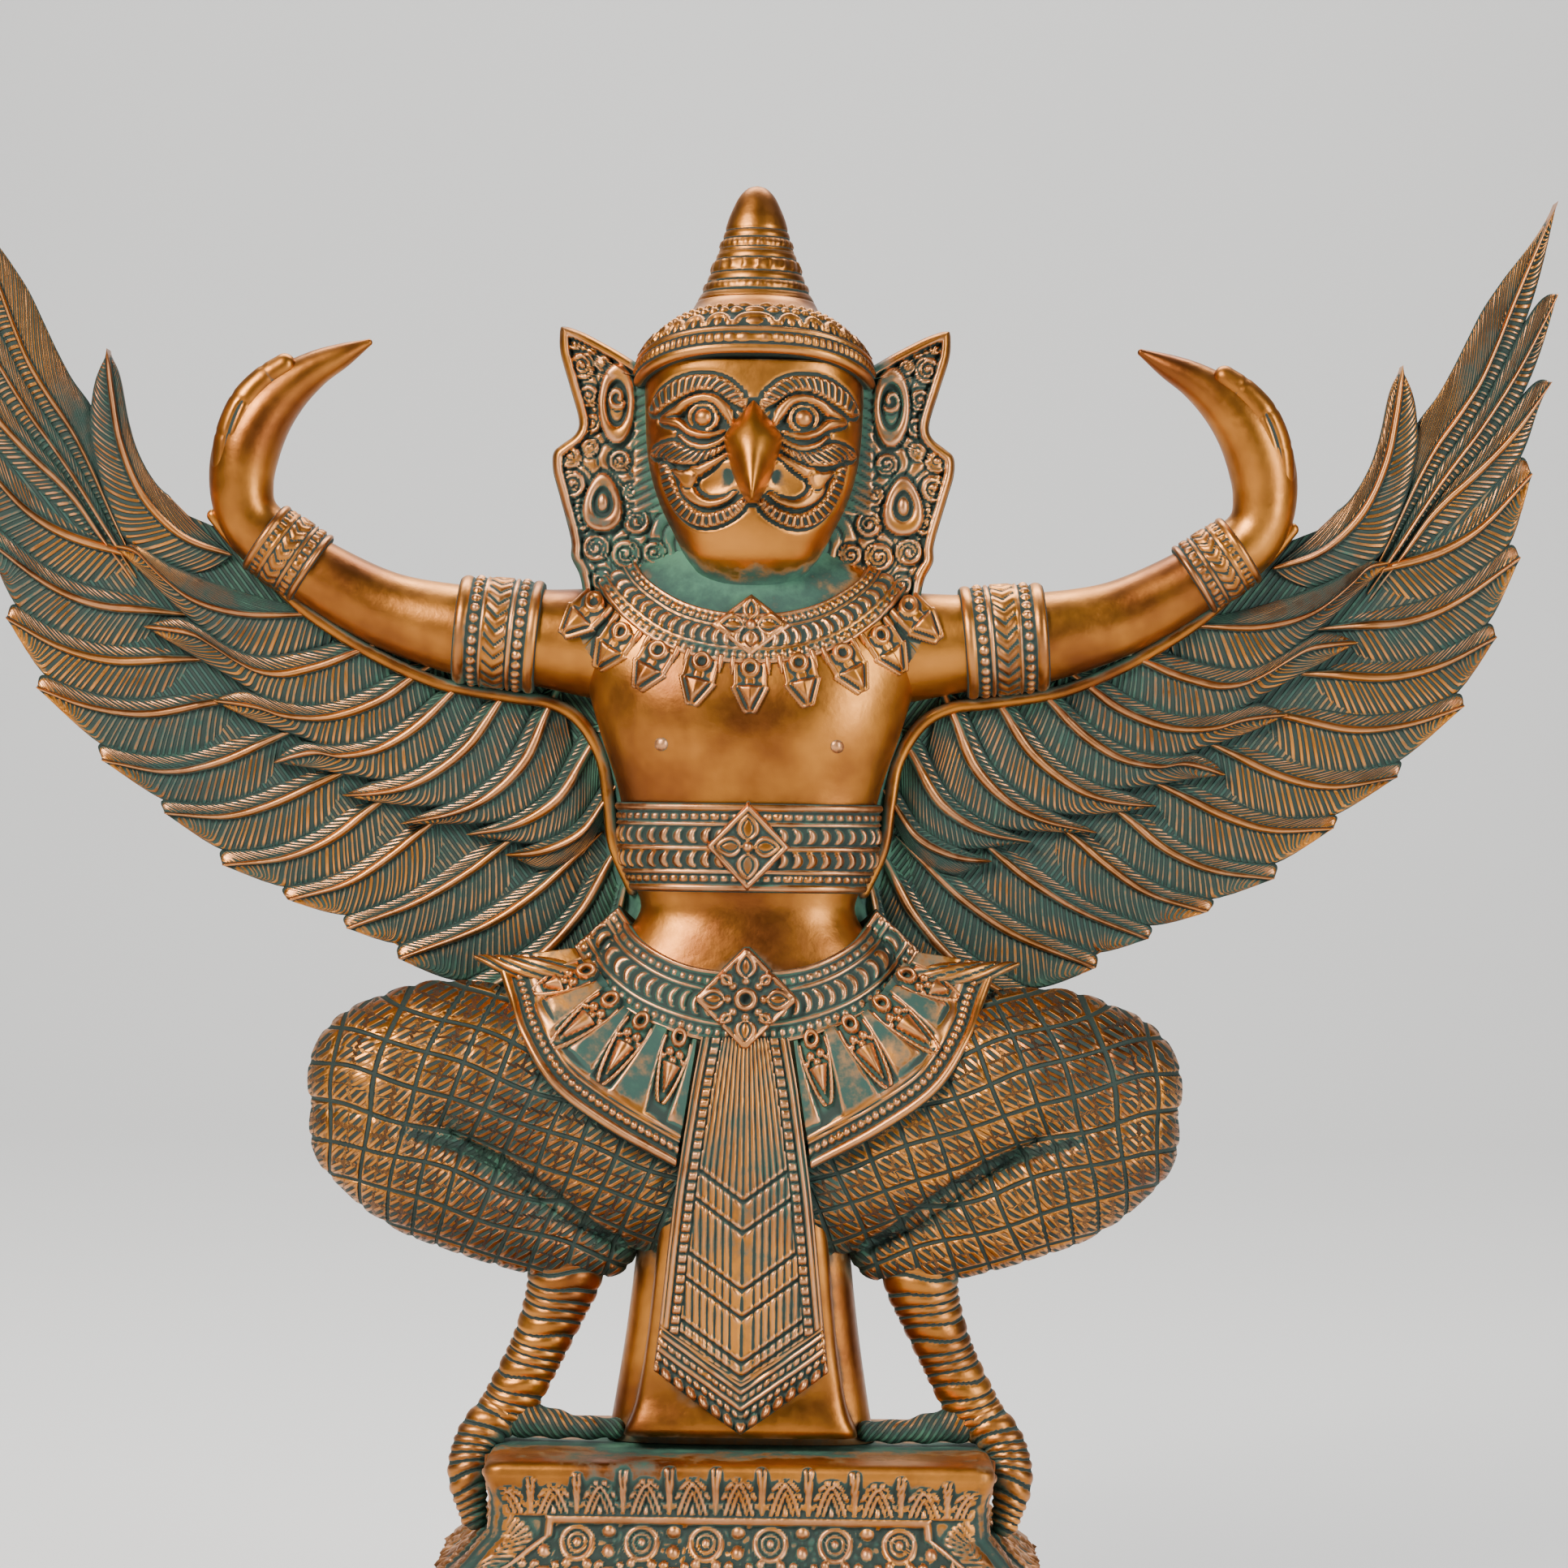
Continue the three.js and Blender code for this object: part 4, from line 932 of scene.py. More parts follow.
def apron_relief(x, z, half):
    """Pleats that fall into bars, crossed by lines in the shape of a V, with a beaded border and a fringe."""
    ax = np.abs(x)
    from_side = half - ax
    side = 0.6 * dome(from_side - 0.5, 0.45) + 1.0 * dome(from_side - 1.9, 0.75)
    side = side + 1.1 * flat(from_side - 4.0, 0.95, 0.4) * np.clip(1.15 + 1.2 * strokes(z, 2.5), 0, 1)
    fold = z - APRON_SLOPE * ax
    bar = np.where(ax < MIDDLE_BAR, ax / MIDDLE_BAR, 1 + (ax - MIDDLE_BAR) / SIDE_BAR)
    pleat = ax / (half - APRON_BORDER) * PLEATS
    field = np.where(fold > FOLD_LINES[0], pleat, bar)
    lift = 0.7 + 0.75 * strokes(field, 1.0)
    for level in FOLD_LINES:
        lift = lift - (0.4 + lift) * line_cut(fold - level, 0.5) + 0.35 * line_cut(fold - level - 1.1, 0.4)
    lift = np.where(from_side > APRON_BORDER, lift, side)
    fringe = fold - APRON_TIP
    along = ax * math.hypot(1, APRON_SLOPE)
    edging = beads(along, fringe - 2.0, 3.7, 1.7) * 1.3 + beads(along + 0.6, fringe - 4.8, 2.3, 1.05)
    for level, height, half_cord in ((6.9, 1.0, 0.8), (10.9, 0.9, 0.6), (12.6, 0.6, 0.4)):
        edging = edging + height * dome(fringe - level, half_cord)
    edging = edging + 0.8 * flat(fringe - 8.9, 0.7) * (1 + strokes(along, 2.2))
    return np.where(fringe < FRINGE_HEIGHT, edging, lift)


def apron(casting):
    table = smooth(APRON)[::-1]
    columns, rows = int(APRON_WIDTH / (FINE * 0.7)), int(APRON_LENGTH / (FINE * 0.85))
    across, down = np.meshgrid(np.linspace(-1, 1, columns), np.linspace(0, 1, rows))
    foot_half = APRON[-2][1]
    bottom = APRON_TIP + APRON_SLOPE * foot_half * np.abs(across)
    z = APRON[0][0] - down * (APRON[0][0] - bottom)
    half = np.interp(z, table[:, 0], table[:, 1])
    front = np.interp(z, table[:, 0], table[:, 2])
    x = across * half
    y = front + 1.2 * across ** 2
    rim = np.clip(np.minimum((half - np.abs(x)), (z - bottom) * 0.8) / 0.5, 0, 1)
    casting.age = AGE["apron"]
    casting.patch(stacked(x, y, z), apron_relief(x, z, half) * rim - 1.4 * (1 - rim), (0, -9, 62))
    casting.age = AGE["pillar"]
    casting.ring(SLAB.grid(SLAB_LOW, spacing=2.0))
    casting.ring(PILLAR.grid(spacing=COARSE))


# Head, crown and ears

HEAD = Loft([
    (206, 17, -13, 13), (216, 15, -14, 13), (220, 15, -19.4, 14), (223, 16.6, -22.6, 16),
    (229, 19.6, -25.2, 20), (235, 22.6, -26.2, 22.6), (242, 25, -26.6, 24.6), (250, 26.4, -26.6, 26),
    (262, 27, -26, 26), (272, 27, -25.5, 26), (280, 25.5, -23.5, 24),
], 2.8)
# Bands of the face as middle line [x, z] and half widths along it, and for the first three the lean of their
# engraved strokes
BROW = ([(24, 258.2), (21.6, 260.6), (17.7, 262.8), (13.8, 264), (9.4, 263.8), (5.5, 261.6), (2.6, 258.9),
         (1.6, 257.5)], [1.5, 2.2, 2.4, 2.1, 1.9, 2.2, 1.8, 0.6], 0.3)
UNDER_EYE = ([(23.4, 247.6), (21.1, 247.7), (17.2, 246.8), (13.8, 246.1), (10.4, 246.8), (7.2, 248.4)],
             [1.4, 2.7, 2.4, 1.8, 1.2, 0.5], 0.6)
MOUSTACHE = ([(22, 245), (20.9, 242.4), (19.9, 239), (17.9, 235.3), (14.7, 232.2), (11.3, 231),
              (7.5, 231.7), (4, 233.6), (1.6, 236)], [0.9, 1.5, 1.6, 1.8, 1.8, 1.8, 1.7, 1.5, 0.8], 0.0)
UPPER_LID = ([(22.3, 255.8), (18.6, 257.2), (16.2, 259.2), (12.3, 260.5), (8.9, 259.7), (6.5, 257),
              (5, 254.1)], [0.5, 1.2, 1.05, 1.0, 1.1, 1.4, 0.8])
LOWER_LID = ([(22, 255), (18.2, 254.4), (15.2, 252.2), (11.8, 251.2), (8.9, 251.8), (7, 252.4)],
             [0.6, 1.3, 0.95, 0.85, 0.6, 0.25])
POUCH = ([(18, 251.4), (15.5, 249.4), (12, 248.5), (8.5, 249.5), (6.5, 251)], [0.3, 0.55, 0.6, 0.55, 0.3])
LIP = ([(6.5, 246.6), (9.4, 244.8), (12.8, 242.9), (15.8, 241.4), (15.7, 238.8), (13.8, 236.3),
        (10.4, 234.9), (6.5, 235.8), (4.3, 237.5)], [0.4, 0.8, 1.2, 1.8, 1.7, 1.35, 1.0, 0.7, 0.3])
LIP_CORNER = ([(15.4, 240.8), (17.6, 242), (19.6, 243.2)], [1.8, 1.1, 0.2])
PLAIN_BANDS = [(LIP, 0.6), (LIP_CORNER, 0.6), (POUCH, 0.4), (UPPER_LID, 1.2), (LOWER_LID, 1.1)]
HATCH_STEP = 1.75
DISH = (8.9, 240.2)
IRIS = (12.1, 255.6)


def ribbon(points, halves, x, z):
    """How far inside a band of changing width each place is, and how far along and to its side."""
    d, run, side = nearest(points, x, z)
    total = lengths(smooth(points, 5), 2)[-1]
    return np.interp(run / total, np.linspace(0, 1, len(halves)), halves) - d, run, side


def face(x, z):
    """The carving of the face on its plain front, the same on both sides, and its fine strokes."""
    ax = np.abs(x)
    lift, phase, depth = np.zeros(x.shape), np.zeros(x.shape), np.zeros(x.shape)
    for points, halves, lean in (BROW, UNDER_EYE, MOUSTACHE):
        inside, run, side = ribbon(points, halves, ax, z)
        here = run / HATCH_STEP + lean * side
        mask = risen(inside - 0.2, 0.5)
        lift = lift + 0.9 * risen(inside, 0.5) - 0.75 * line_cut(inside + 0.4, 0.42)
        lift = lift + 0.5 * strokes(here, 1.0) * mask
        phase, depth = np.where(inside > 0, here, phase), np.maximum(depth, mask)
    a = (ax - DISH[0]) * 0.92 - (z - DISH[1]) * 0.39
    b = (ax - DISH[0]) * 0.39 + (z - DISH[1]) * 0.92
    dish = dome(np.hypot(a / 5.4, b / 4.0), 1.0)
    iris = np.hypot(ax - IRIS[0], z - IRIS[1])
    socket = dome(np.hypot((ax - 12.2) / 6.8, (z - 255.4) / 4.2), 1.0)
    lift = lift - 1.3 * dish
    lift = np.where(socket > 0, -0.9 * np.minimum(socket * 1.6, 1), lift)
    lift = np.where(iris < 4, np.maximum(lift, 1.1 * dome(iris - 3.3, 0.6) - 0.5), lift)
    lift = np.where(iris < 2.1, 1.5 * dome(iris, 2.1) - 0.1, lift)
    for (points, halves), height in PLAIN_BANDS:
        inside, _, _ = ribbon(points, halves, ax, z)
        band = 0.1 + height * risen(inside, 0.7) ** 0.6
        lift = np.where(inside > 0, np.maximum(lift, band), lift) - 0.6 * line_cut(inside + 0.4, 0.4)
    return lift, phase, depth


HEAD_SHOWN = (210, 270)
# The beak as levels [z, half width, y of its ridge]
BEAK = [(259.6, 0.5, -27.4), (257, 2.7, -30.6), (254.2, 5, -33.2), (251.4, 7, -35), (249, 7, -36.2),
        (246, 6.1, -37.3), (242, 4.9, -38.5), (238.6, 3.4, -39.2), (236.4, 2.1, -39.2), (235, 1.1, -37.6),
        (235, 2.2, -33), (235, 3, -27)]
BEAK_COLUMNS, BEAK_ROOT = 22, -24


def head(casting):
    casting.age = AGE["head"]
    base = HEAD.grid(*HEAD_SHOWN, spacing=FINE * 0.85, spread=0.42)
    x, y, z = np.moveaxis(base, -1, 0)
    facing = risen(-y - 6, 6)
    lift, phase, depth = face(x, z)
    aged = 0.7 * risen(227 - z, 9) + 0.2 * np.clip(depth, 0, 1)
    casting.ring(base, lift * facing, blur=6, phase=phase, strokes=depth * facing, age=aged)
    beak(casting)
    casting.age = AGE["crown"]
    crown(casting)
    casting.age = AGE["ears"]
    ears(casting)


def beak(casting):
    rows = smooth(BEAK, 7)
    u = np.linspace(-1, 1, int(BEAK_COLUMNS / FINE))
    z, half, front = (rows[:, k:k + 1] for k in range(3))
    x = u[None] * half
    depth = np.clip(BEAK_ROOT - front, 0.3, None)
    y = front + depth * (1 - np.sqrt(1 - u[None] ** 2))
    casting.patch(stacked(x, y, z), np.zeros(x.shape), (0, -12, 246))


CROWN = [(27.6, 266.4), (28.9, 267.4), (29.3, 269), (29.0, 271), (28.2, 273), (26.6, 275.2), (23.4, 278),
         (19.6, 281), (16.4, 283.6), (14.6, 286.2), (13.1, 289), (10.6, 295.4), (9.5, 298.6), (8.4, 301.8),
         (7.3, 305.7), (6.4, 308.2), (4.5, 312.1), (2.4, 314.3), (0.3, 315)]
CROWN_ROWS = [(0.3, 2.9, cord), (3.1, 5.6, dashes, 2.0), (5.8, 7.2, cord)]
CROWN_SPLIT = 286.5
CONE_LINES = (303.8, 301.7, 299.2, 298.3, 296.6, 293.2, 291, 288.5)
CONE_BANDS = [(299.4, 301.5, dashes, 1.7), (293.4, 296.4, crescents, 3.4), (288.7, 290.8, dashes, 1.8)]
BAND_POWER = 0.75
BAND_RISE, BAND_DROP = 7.0, 2.4


def crown(casting):
    run, profile = resample(CROWN, FINE * 0.85, 2)
    low = profile[:, 1] < CROWN_SPLIT
    crown_part(casting, run[low], profile[low], crown_band)
    crown_part(casting, run[~low], profile[~low], crown_cone)


def crown_part(casting, run, profile, relief):
    """One part of the crown, turned round the upright axis and raised a little in front."""
    turn, along = np.meshgrid(angles(profile[:, 0].max(), 0.54, FINE * 0.85), run)
    radius, level = profile[:, :1], profile[:, 1:]
    rise = risen(287 - level, 9)
    z = level + rise * (BAND_RISE * np.clip(np.cos(turn), 0, 1) ** 1.4 - BAND_DROP)
    power = 2 / (2 + BAND_POWER * rise)
    x, y = (signed_power(value, power) for value in (np.sin(turn), np.cos(turn)))
    casting.ring(stacked(radius * x, -radius * y * 0.985, z), relief(turn, along, radius, level))


def crown_band(turn, along, *_):
    """A brow band of twisted cord, a row of arches and two rows of pebbles."""
    lift = rows_of_carving(turn * 28, along / 10, 10, CROWN_ROWS)
    arch = np.pi / 15
    off = (turn / arch - np.round(turn / arch)) * 2
    arch_low, arch_high = 7.4, 11.6
    share = np.clip((along - arch_low) / (arch_high - arch_low), 0, 1)
    r = np.hypot(off, share * 1.05)
    arches = 1.2 * dome(r - 0.8, 0.22) + 0.9 * dome(np.hypot(off, share - 0.35), 0.36)
    lift = np.where((along > arch_low) & (along < arch_high), arches, lift)
    pebbles = beads(turn * 24, along - 12.9, 2.3, 1.1) + beads(turn * 20 + 1, along - 15.1, 2.2, 1.0)
    lift = np.where((along >= arch_high) & (along < 16.4), pebbles, lift)
    return lift * risen(np.cos(turn) + 0.35, 0.25)


def crown_cone(turn, _along, radius, level):
    """A tapering top with low carved bands between engraved lines, smooth at its tip."""
    lift = np.zeros(turn.shape)
    for low, high, kind, pitch in CONE_BANDS:
        share = np.broadcast_to((level - low) / (high - low), turn.shape)
        band = rows_of_carving(turn * radius, share, high - low, [(0, high - low, kind, pitch)])
        lift = np.where((share > 0) & (share < 1), 0.32 * band, lift)
    for line in CONE_LINES:
        lift = lift - 0.3 * line_cut(level - line, 0.35)
    return lift


EAR_OUTER = [(211, 41), (218, 42.2), (222.7, 44.4), (227.3, 44.6), (238.1, 47.6), (244, 49.2),
             (248.4, 49.1), (250.6, 46.8), (253, 43.8), (256.4, 43), (264.2, 45.2), (272.6, 47.7),
             (277.4, 48), (279.6, 47.6)]
EAR_INNER = [(211, 13), (262, 20), (267, 23), (270.6, 29), (273.6, 34), (276, 38.4), (278, 42.4),
             (279.6, 47)]
EAR_FRONT = -7.0
EAR_BACK = 2.0
EAR_CURLS = [(42.4, 269.6, 3.3, 1.6, 2.0, 1), (37.2, 270.4, 2.0, 1.2, 1.2, -1), (44.4, 275, 1.6, 1.1, 0, 1),
             (40.6, 262.2, 2.7, 1.4, 3.0, 1), (39.8, 255.6, 2.4, 1.3, 1, -1),
             (40.2, 249.6, 2.2, 1.3, 0, -1), (45, 247.2, 2.7, 1.5, 2.6, 1),
             (44.4, 240.6, 3.4, 1.7, 1.6, -1), (42.2, 232.4, 3.3, 1.6, 0.5, 1),
             (32.6, 246.4, 2.7, 1.4, 3.6, 1), (29.6, 238.6, 2.4, 1.3, 1.6, -1),
             (28.4, 231.6, 3.2, 1.6, 0, 1), (38.4, 225, 3.3, 1.7, 3.9, -1), (31, 223.6, 3.5, 1.7, 2.2, 1),
             (36.8, 217, 2.6, 1.4, 1, 1), (29.4, 216.2, 2.7, 1.4, 0, -1), (24, 224, 2.8, 1.5, 2, 1)]


def ear_relief(x, z, from_edge):
    """Flat scrolls and leaves, parted by engraved lines."""
    u, v = x * 0.8 + 1.6 * np.sin(z * 0.3), z * 0.35 + 0.9 * np.sin(x * 0.41 + 1)
    lift = -0.8 * line_cut(np.sin(u + 1.2 * np.sin(v)), 0.36)
    for cx, cz, radius, turns, start, hand in EAR_CURLS:
        r = np.hypot(x - cx, z - cz)
        spiral = scroll(x, z, (cx, cz), radius * 0.8, turns, start, hand, 0.5)
        curl = 0.3 + 0.4 * dome(r, radius * 1.4) - 1.1 * spiral
        lift = np.where(r < radius, curl, lift) - 0.9 * line_cut(r - radius - 0.25, 0.45)
    loop = np.hypot((x - 33.6) / 0.46, z - 260.4)
    hook = 1.1 * scroll(x, z, (33.6, 262), 3.2, 1.2, 2.4, 1, 0.8)
    shape = 0.5 + 0.6 * dome(loop - 8, 2.4) - 1.0 * line_cut(loop - 5, 0.8)
    shape = shape - 0.3 * (loop < 5) + (loop < 4.6) * hook
    lift = np.where(loop < 10, shape, lift) - 0.9 * line_cut(loop - 10.4, 0.7)
    drop_loop = np.hypot((x - 36.8) / (0.55 + 0.028 * (240 - z)), z - 236.2)
    shape = 0.5 + 0.6 * dome(drop_loop - 5.6, 2.0) + 0.6 * dome(drop_loop, 2)
    shape = shape - 1.0 * line_cut(drop_loop - 3, 0.7)
    lift = np.where(drop_loop < 7.4, shape, lift) - 0.8 * line_cut(drop_loop - 7.8, 0.7)
    strip = (x < 29.2) & (z > 234)
    lift = np.where(strip, 0.3 + 0.6 * strokes(z + 0.5 * x, 2.4), lift)
    rim = 0.5 + 0.5 * dome(from_edge - 1.2, 1.2)
    return np.where(from_edge < 2.3, rim, lift - 0.7 * line_cut(from_edge - 2.7, 0.45))


def ears(casting):
    z = np.arange(EAR_OUTER[0][0], EAR_OUTER[-1][0], FINE * 0.8)[:, None]
    outer, inner = (smooth(line, 6) for line in (EAR_OUTER, EAR_INNER))
    far = np.interp(z, outer[:, 0], outer[:, 1])
    near = np.interp(z, inner[:, 0], inner[:, 1])
    share = np.linspace(0, 1, int(29 / (FINE * 0.8)))[None]
    x = near + (far - near) * share
    outline = [(b, a) for a, b in EAR_OUTER] + [(b, a) for a, b in EAR_INNER[::-1][:6]]
    from_edge, _, _ = nearest(outline, x, np.broadcast_to(z, x.shape), reach=40, steps=4)
    rounding = 2.2 * (1 - np.sqrt(np.clip(1 - (1 - risen(from_edge, 2.2)) ** 2, 0, 1)))
    lift = ear_relief(x, np.broadcast_to(z, x.shape), from_edge)
    lean = 0.07 * (x - 30)
    front = stacked(x, EAR_FRONT + rounding - lift + lean, z)
    rear_share = np.linspace(1, 0, 9)[None]
    rear_x = mixed(near, far, 0.03 + rear_share * 0.94)
    rear = stacked(rear_x, EAR_BACK - 1.6 * np.abs(2 * rear_share - 1) ** 3, z)
    casting.slab(front, rear, lift, both=True)


# Arms and hands

ARM = [(26, 1, 201, 15), (40, 0, 202, 13.4), (52, -1, 203, 12), (62, -1, 204, 11.8), (73, -1, 205, 11),
       (90, -1, 209.5, 9.4), (107, -2, 218.2, 8.3), (119, -2.8, 226.4, 7.8), (124.2, -3.4, 232.5, 7.5),
       (125.6, -4, 240, 7.9), (124.4, -4.6, 248, 8.2), (120.6, -5.2, 256, 7.5), (115, -5.6, 262.6, 6.2),
       (108, -6, 267.8, 4.5), (101, -6, 271.4, 3), (94.6, -6, 274.6, 0.9)]
ARMBAND = [(52, -1, 203, 13.2), (62, -1, 204, 13.1), (72.4, -1, 204.9, 12.6)]
ARMBAND_ROWS = [(0, 3, cord), (3, 6, beading, 2.7), (6, 7.2, cord), (7.2, 13, chevrons, 3.4),
                (13, 14.2, cord), (14.2, 17.2, beading, 2.7), (17.2, 20.4, cord)]
WRISTBAND = [(108, -2, 218.9, 9.0), (114, -2.4, 222.9, 8.9), (120.2, -2.8, 227.2, 8.7)]
WRISTBAND_ROWS = [(0, 1.8, cord), (1.8, 4.4, dashes, 2.2), (4.4, 5.4, cord), (5.4, 10, chevrons, 3),
                  (10, 11, cord), (11, 12.6, dashes, 2), (12.6, 14.8, cord)]
FINGER = [(128.6, -5.6, 238, 3.2), (128.8, -7.4, 245, 3.7), (127.6, -8.6, 252, 3.8),
          (124.6, -9, 259.3, 3.6), (120, -9, 264.8, 3.2), (114.8, -8.8, 268.6, 2.8)]


def banded(rows):
    width = rows[-1][1]

    def carve(run, around, *_):
        return rows_of_carving(around, run / width, width, rows) * 0.9, {}
    return carve


def slit(run, _around, angle, _base):
    """A line that parts two fingers, and the lines of their joints."""
    return -0.7 * line_cut(angle * 3.4, 0.45) * flat(run - 13, 9, 3) - 0.3 * line_cut(run % 9 - 4.5, 0.35), {}


def arms(casting):
    casting.age = AGE["skin"]
    casting.rod(ARM, spacing=FINE * 2.2)
    bands = [("armband", ARMBAND, ARMBAND_ROWS), ("wristband", WRISTBAND, WRISTBAND_ROWS)]
    for band, stations, rows in bands:
        casting.age = AGE[band]
        casting.rod(stations, banded(rows), FINE * 0.8, round_ends=False)
    casting.age = AGE["fingers"]
    casting.rod(FINGER, slit)


# Legs: hatched lattice on thighs and calves, ringed shanks, toes and talons

THIGH = [(18, -4, 72, 20), (32, -5, 76.5, 21), (42, -7, 83.5, 22), (52, -8.5, 90, 21.6),
         (62, -10.5, 95.6, 22), (74, -13, 98.2, 20.8), (86, -16, 95, 19.8)]
CALF = [(87, -16.4, 84, 18.2), (78, -14.4, 74.5, 17), (66, -11.6, 67, 14.8), (54, -8.5, 60.5, 12.4),
        (44, -6.5, 56, 10.2), (34, -5, 54.5, 8)]
CREASE = [(84, 84.5), (78, 83.2), (69, 80.6), (59, 76), (48, 69), (37, 60), (30, 55)]
LATTICE_PITCH = 9.0
LINE_HALF = 0.42 / LATTICE_PITCH
HATCH_PITCH = 1.75
KNEE_EDGE = 98
KNEE_LEVEL = 88
HATCH_RISE = math.radians(35)


def hatched_lattice(_run, _around, _angle, base):
    """Engraved lines along and round the limb, with slanting strokes in the cells between them."""
    ax, z = np.abs(base[..., 0]), base[..., 2]
    warp = 0.5 * np.sin(ax * 0.19 + z * 0.05) + 0.4 * np.sin(z * 0.23 + 1 + ax * 0.07)
    fall = 0.36 * (np.hypot(np.clip(KNEE_EDGE - ax, 0, None), 10) - 10)
    lean = 0.42 * risen(104 - ax, 36)
    level = (z + fall + warp) / LATTICE_PITCH
    column = (ax + lean * (z - KNEE_LEVEL) + warp) / LATTICE_PITCH + 0.05
    off = [np.abs(value - np.round(value)) * LATTICE_PITCH for value in (level, column)]
    edge = np.minimum(*off)
    cut = np.maximum(line_cut(off[0], 0.6), line_cut(off[1], 0.6))
    cell = np.sin(np.floor(level + 0.5) * 12.9898 + np.floor(column + 0.5) * 78.233) * 43.7
    rise = HATCH_RISE + 0.16 * np.sin(cell * 3)
    phase = (np.sin(rise) * ax + np.cos(rise) * z) / HATCH_PITCH + cell
    worn = np.clip(1.5 + 0.9 * np.sin(ax * 0.33 + cell) * np.sin(z * 0.41 + cell), 0.25, 1)
    depth = risen(edge - 0.75, 0.5) * worn
    from_crease, along_crease, _ = nearest(CREASE, ax, z, 8)
    crease = 1.7 * line_cut(from_crease, 1.5) * risen(along_crease, 8)
    drawn = dict(phase=phase, strokes=depth, lattice_up=level, lattice_across=column, lattice=1,
                 age=0.18 * np.clip(crease, 0, 1.5))
    return 0.2 * risen(edge, 1.6) - 0.55 * cut - crease, drawn


def ringed(pitch):
    """Smooth bands with dark grooves between them round a shank or toe, a little uneven."""
    def carve(run, around, *_):
        place = run + 0.5 * np.sin(around * 0.35) + 0.9 * np.sin(run * 0.45) + 0.12 * around
        off = np.abs(place / pitch - np.round(place / pitch)) * pitch
        drawn = dict(lattice_up=place / pitch, lattice_across=0.5, lattice=1)
        return 0.45 * risen(off - 0.3, 0.6) ** 0.7 - 0.4, drawn
    return carve


def webbed(run, around, *_):
    """Slanting engraved strokes on a low web."""
    return 0.3 * np.sin(run * 0.8) - 0.3, dict(phase=(run + 0.7 * around) / 1.9, strokes=1)


def legs(casting):
    casting.age = AGE["legs"]
    for stations in (THIGH, CALF):
        casting.rod(stations, hatched_lattice, FINE * 1.12)


def real(x, y, z):
    """A real place in metres, in the figure's units, so that feet and plinth meet whatever the scale."""
    return (x / UNIT, y / UNIT, SEAT_LEVEL + (z - SEAT) / UNIT)


TOP_HALF = (61 * MM, 37 * MM)
TALON_RADIUS = 5.2
SHANK = [(42.6, -5.5, 54, 8.6), (43.6, -5.4, 47, 9.2), (46, -5.3, 39, 7.9), (50.4, -5, 28, 6.9)]
# The inner toe on the plinth's top: how far in from its edge, y in metres, how far up, and its radius
INNER_TOE = [(7, -0.006, 5.5, 5.2), (15, -0.007, 4.2, 3.9), (22, -0.0075, 3.4, 3.1), (30, -0.007, 3.2, 2.9)]


def feet(casting):
    side = TOP_HALF[0] + SEAT_GAP
    ankle = real(side - 4.2 * MM, -0.005, SEAT + 8 * MM)
    shank = [*SHANK, (*ankle, 6.8)]
    hang = side + TALON_RADIUS * 0.95 * UNIT
    outer = [(*ankle, 6.4), (*real(hang - 2.2 * MM, -0.008, SEAT + 1 * MM), 5.4),
             (*real(hang, -0.010, SEAT - 8 * MM), TALON_RADIUS),
             (*real(hang - 1.4 * MM, -0.011, SEAT - 18 * MM), 3.4)]
    inner = [(*real(side - inward * MM, y, SEAT + up * MM), radius) for inward, y, up, radius in INNER_TOE]
    limbs = [("shanks", shank, ringed(3.1)), ("toes", outer, ringed(2.5)), ("webs", inner, webbed)]
    for limb, stations, carve in limbs:
        casting.age = AGE[limb]
        casting.rod(stations, carve, FINE * 0.85)


# Plinth, in lengths of MM from its underside

PETAL_FOOT = 57.6
FRAME_TOP = 57.4
PANEL_FOOT, CORNER_RADIUS = 38, 4.0


def plinth_sizes():
    """Levels [z, half width, half depth] of the plain block."""
    foot = ((PLINTH_HIGH.x - PLINTH_LOW.x) / 2 / MM, (PLINTH_HIGH.y - PLINTH_LOW.y) / 2 / MM)
    top = (TOP_HALF[0] / MM, TOP_HALF[1] / MM)

    def mix(share, less=0.0):
        return [t + (f - t) * share - less for t, f in zip(top, foot)]
    return [
        (0, *foot), (7.6, *foot), (8.6, *mix(1, 0.6)), (9, *mix(0.97)), (9.2, *mix(0.8)), (15, *mix(0.78)),
        (21, *mix(0.66, 0.6)), (27, *mix(0.6)), (33, *mix(0.6, 0.2)), (39, *mix(0.6, 0)), (42, *mix(0.42)),
        (45.5, *mix(0.2)), (49, *mix(0.06)), (52, *mix(0, 1.6)), (57, *mix(0, 2)), (60.4, *mix(0, 1.9)),
        (63, *mix(0, 1.2)), (65, *mix(0, 0.4)), (66.6, *mix(0)), (68.4, *mix(0, 0.2)), (69.6, *mix(0, 1.2)),
        (70, *mix(0, 3)),
    ]


def petal_row(u, z, foot, height, pitch):
    """Pointed arches in a row, one inside another, with beaded flanks and a thin leaf in each gap."""
    off = np.abs(u / pitch - np.round(u / pitch)) * pitch
    rise = (z - foot) / height
    reach = np.clip(1 - rise / 0.72, 0, 1) ** 0.55 * pitch * 0.36
    edge = reach - off
    nested = 1.1 * dome(edge - 0.6, 0.7) + 1.0 * dome(edge - 2.0, 0.6) + 1.1 * risen(edge - 2.9, 0.5)
    flank = 0.8 * flat(edge + 0.95, 0.6) * (1 + strokes(z - foot + 0.3 * off, 2.3)) * (rise < 0.8)
    spike = 1.0 * dome(off - pitch * (0.5 - 0.06 * rise), 0.3 + 0.45 * np.clip(1.15 - rise, 0, 1))
    return np.where((rise > 0) & (rise < 1), np.where(edge > 0, nested, np.maximum(flank, spike)), 0)


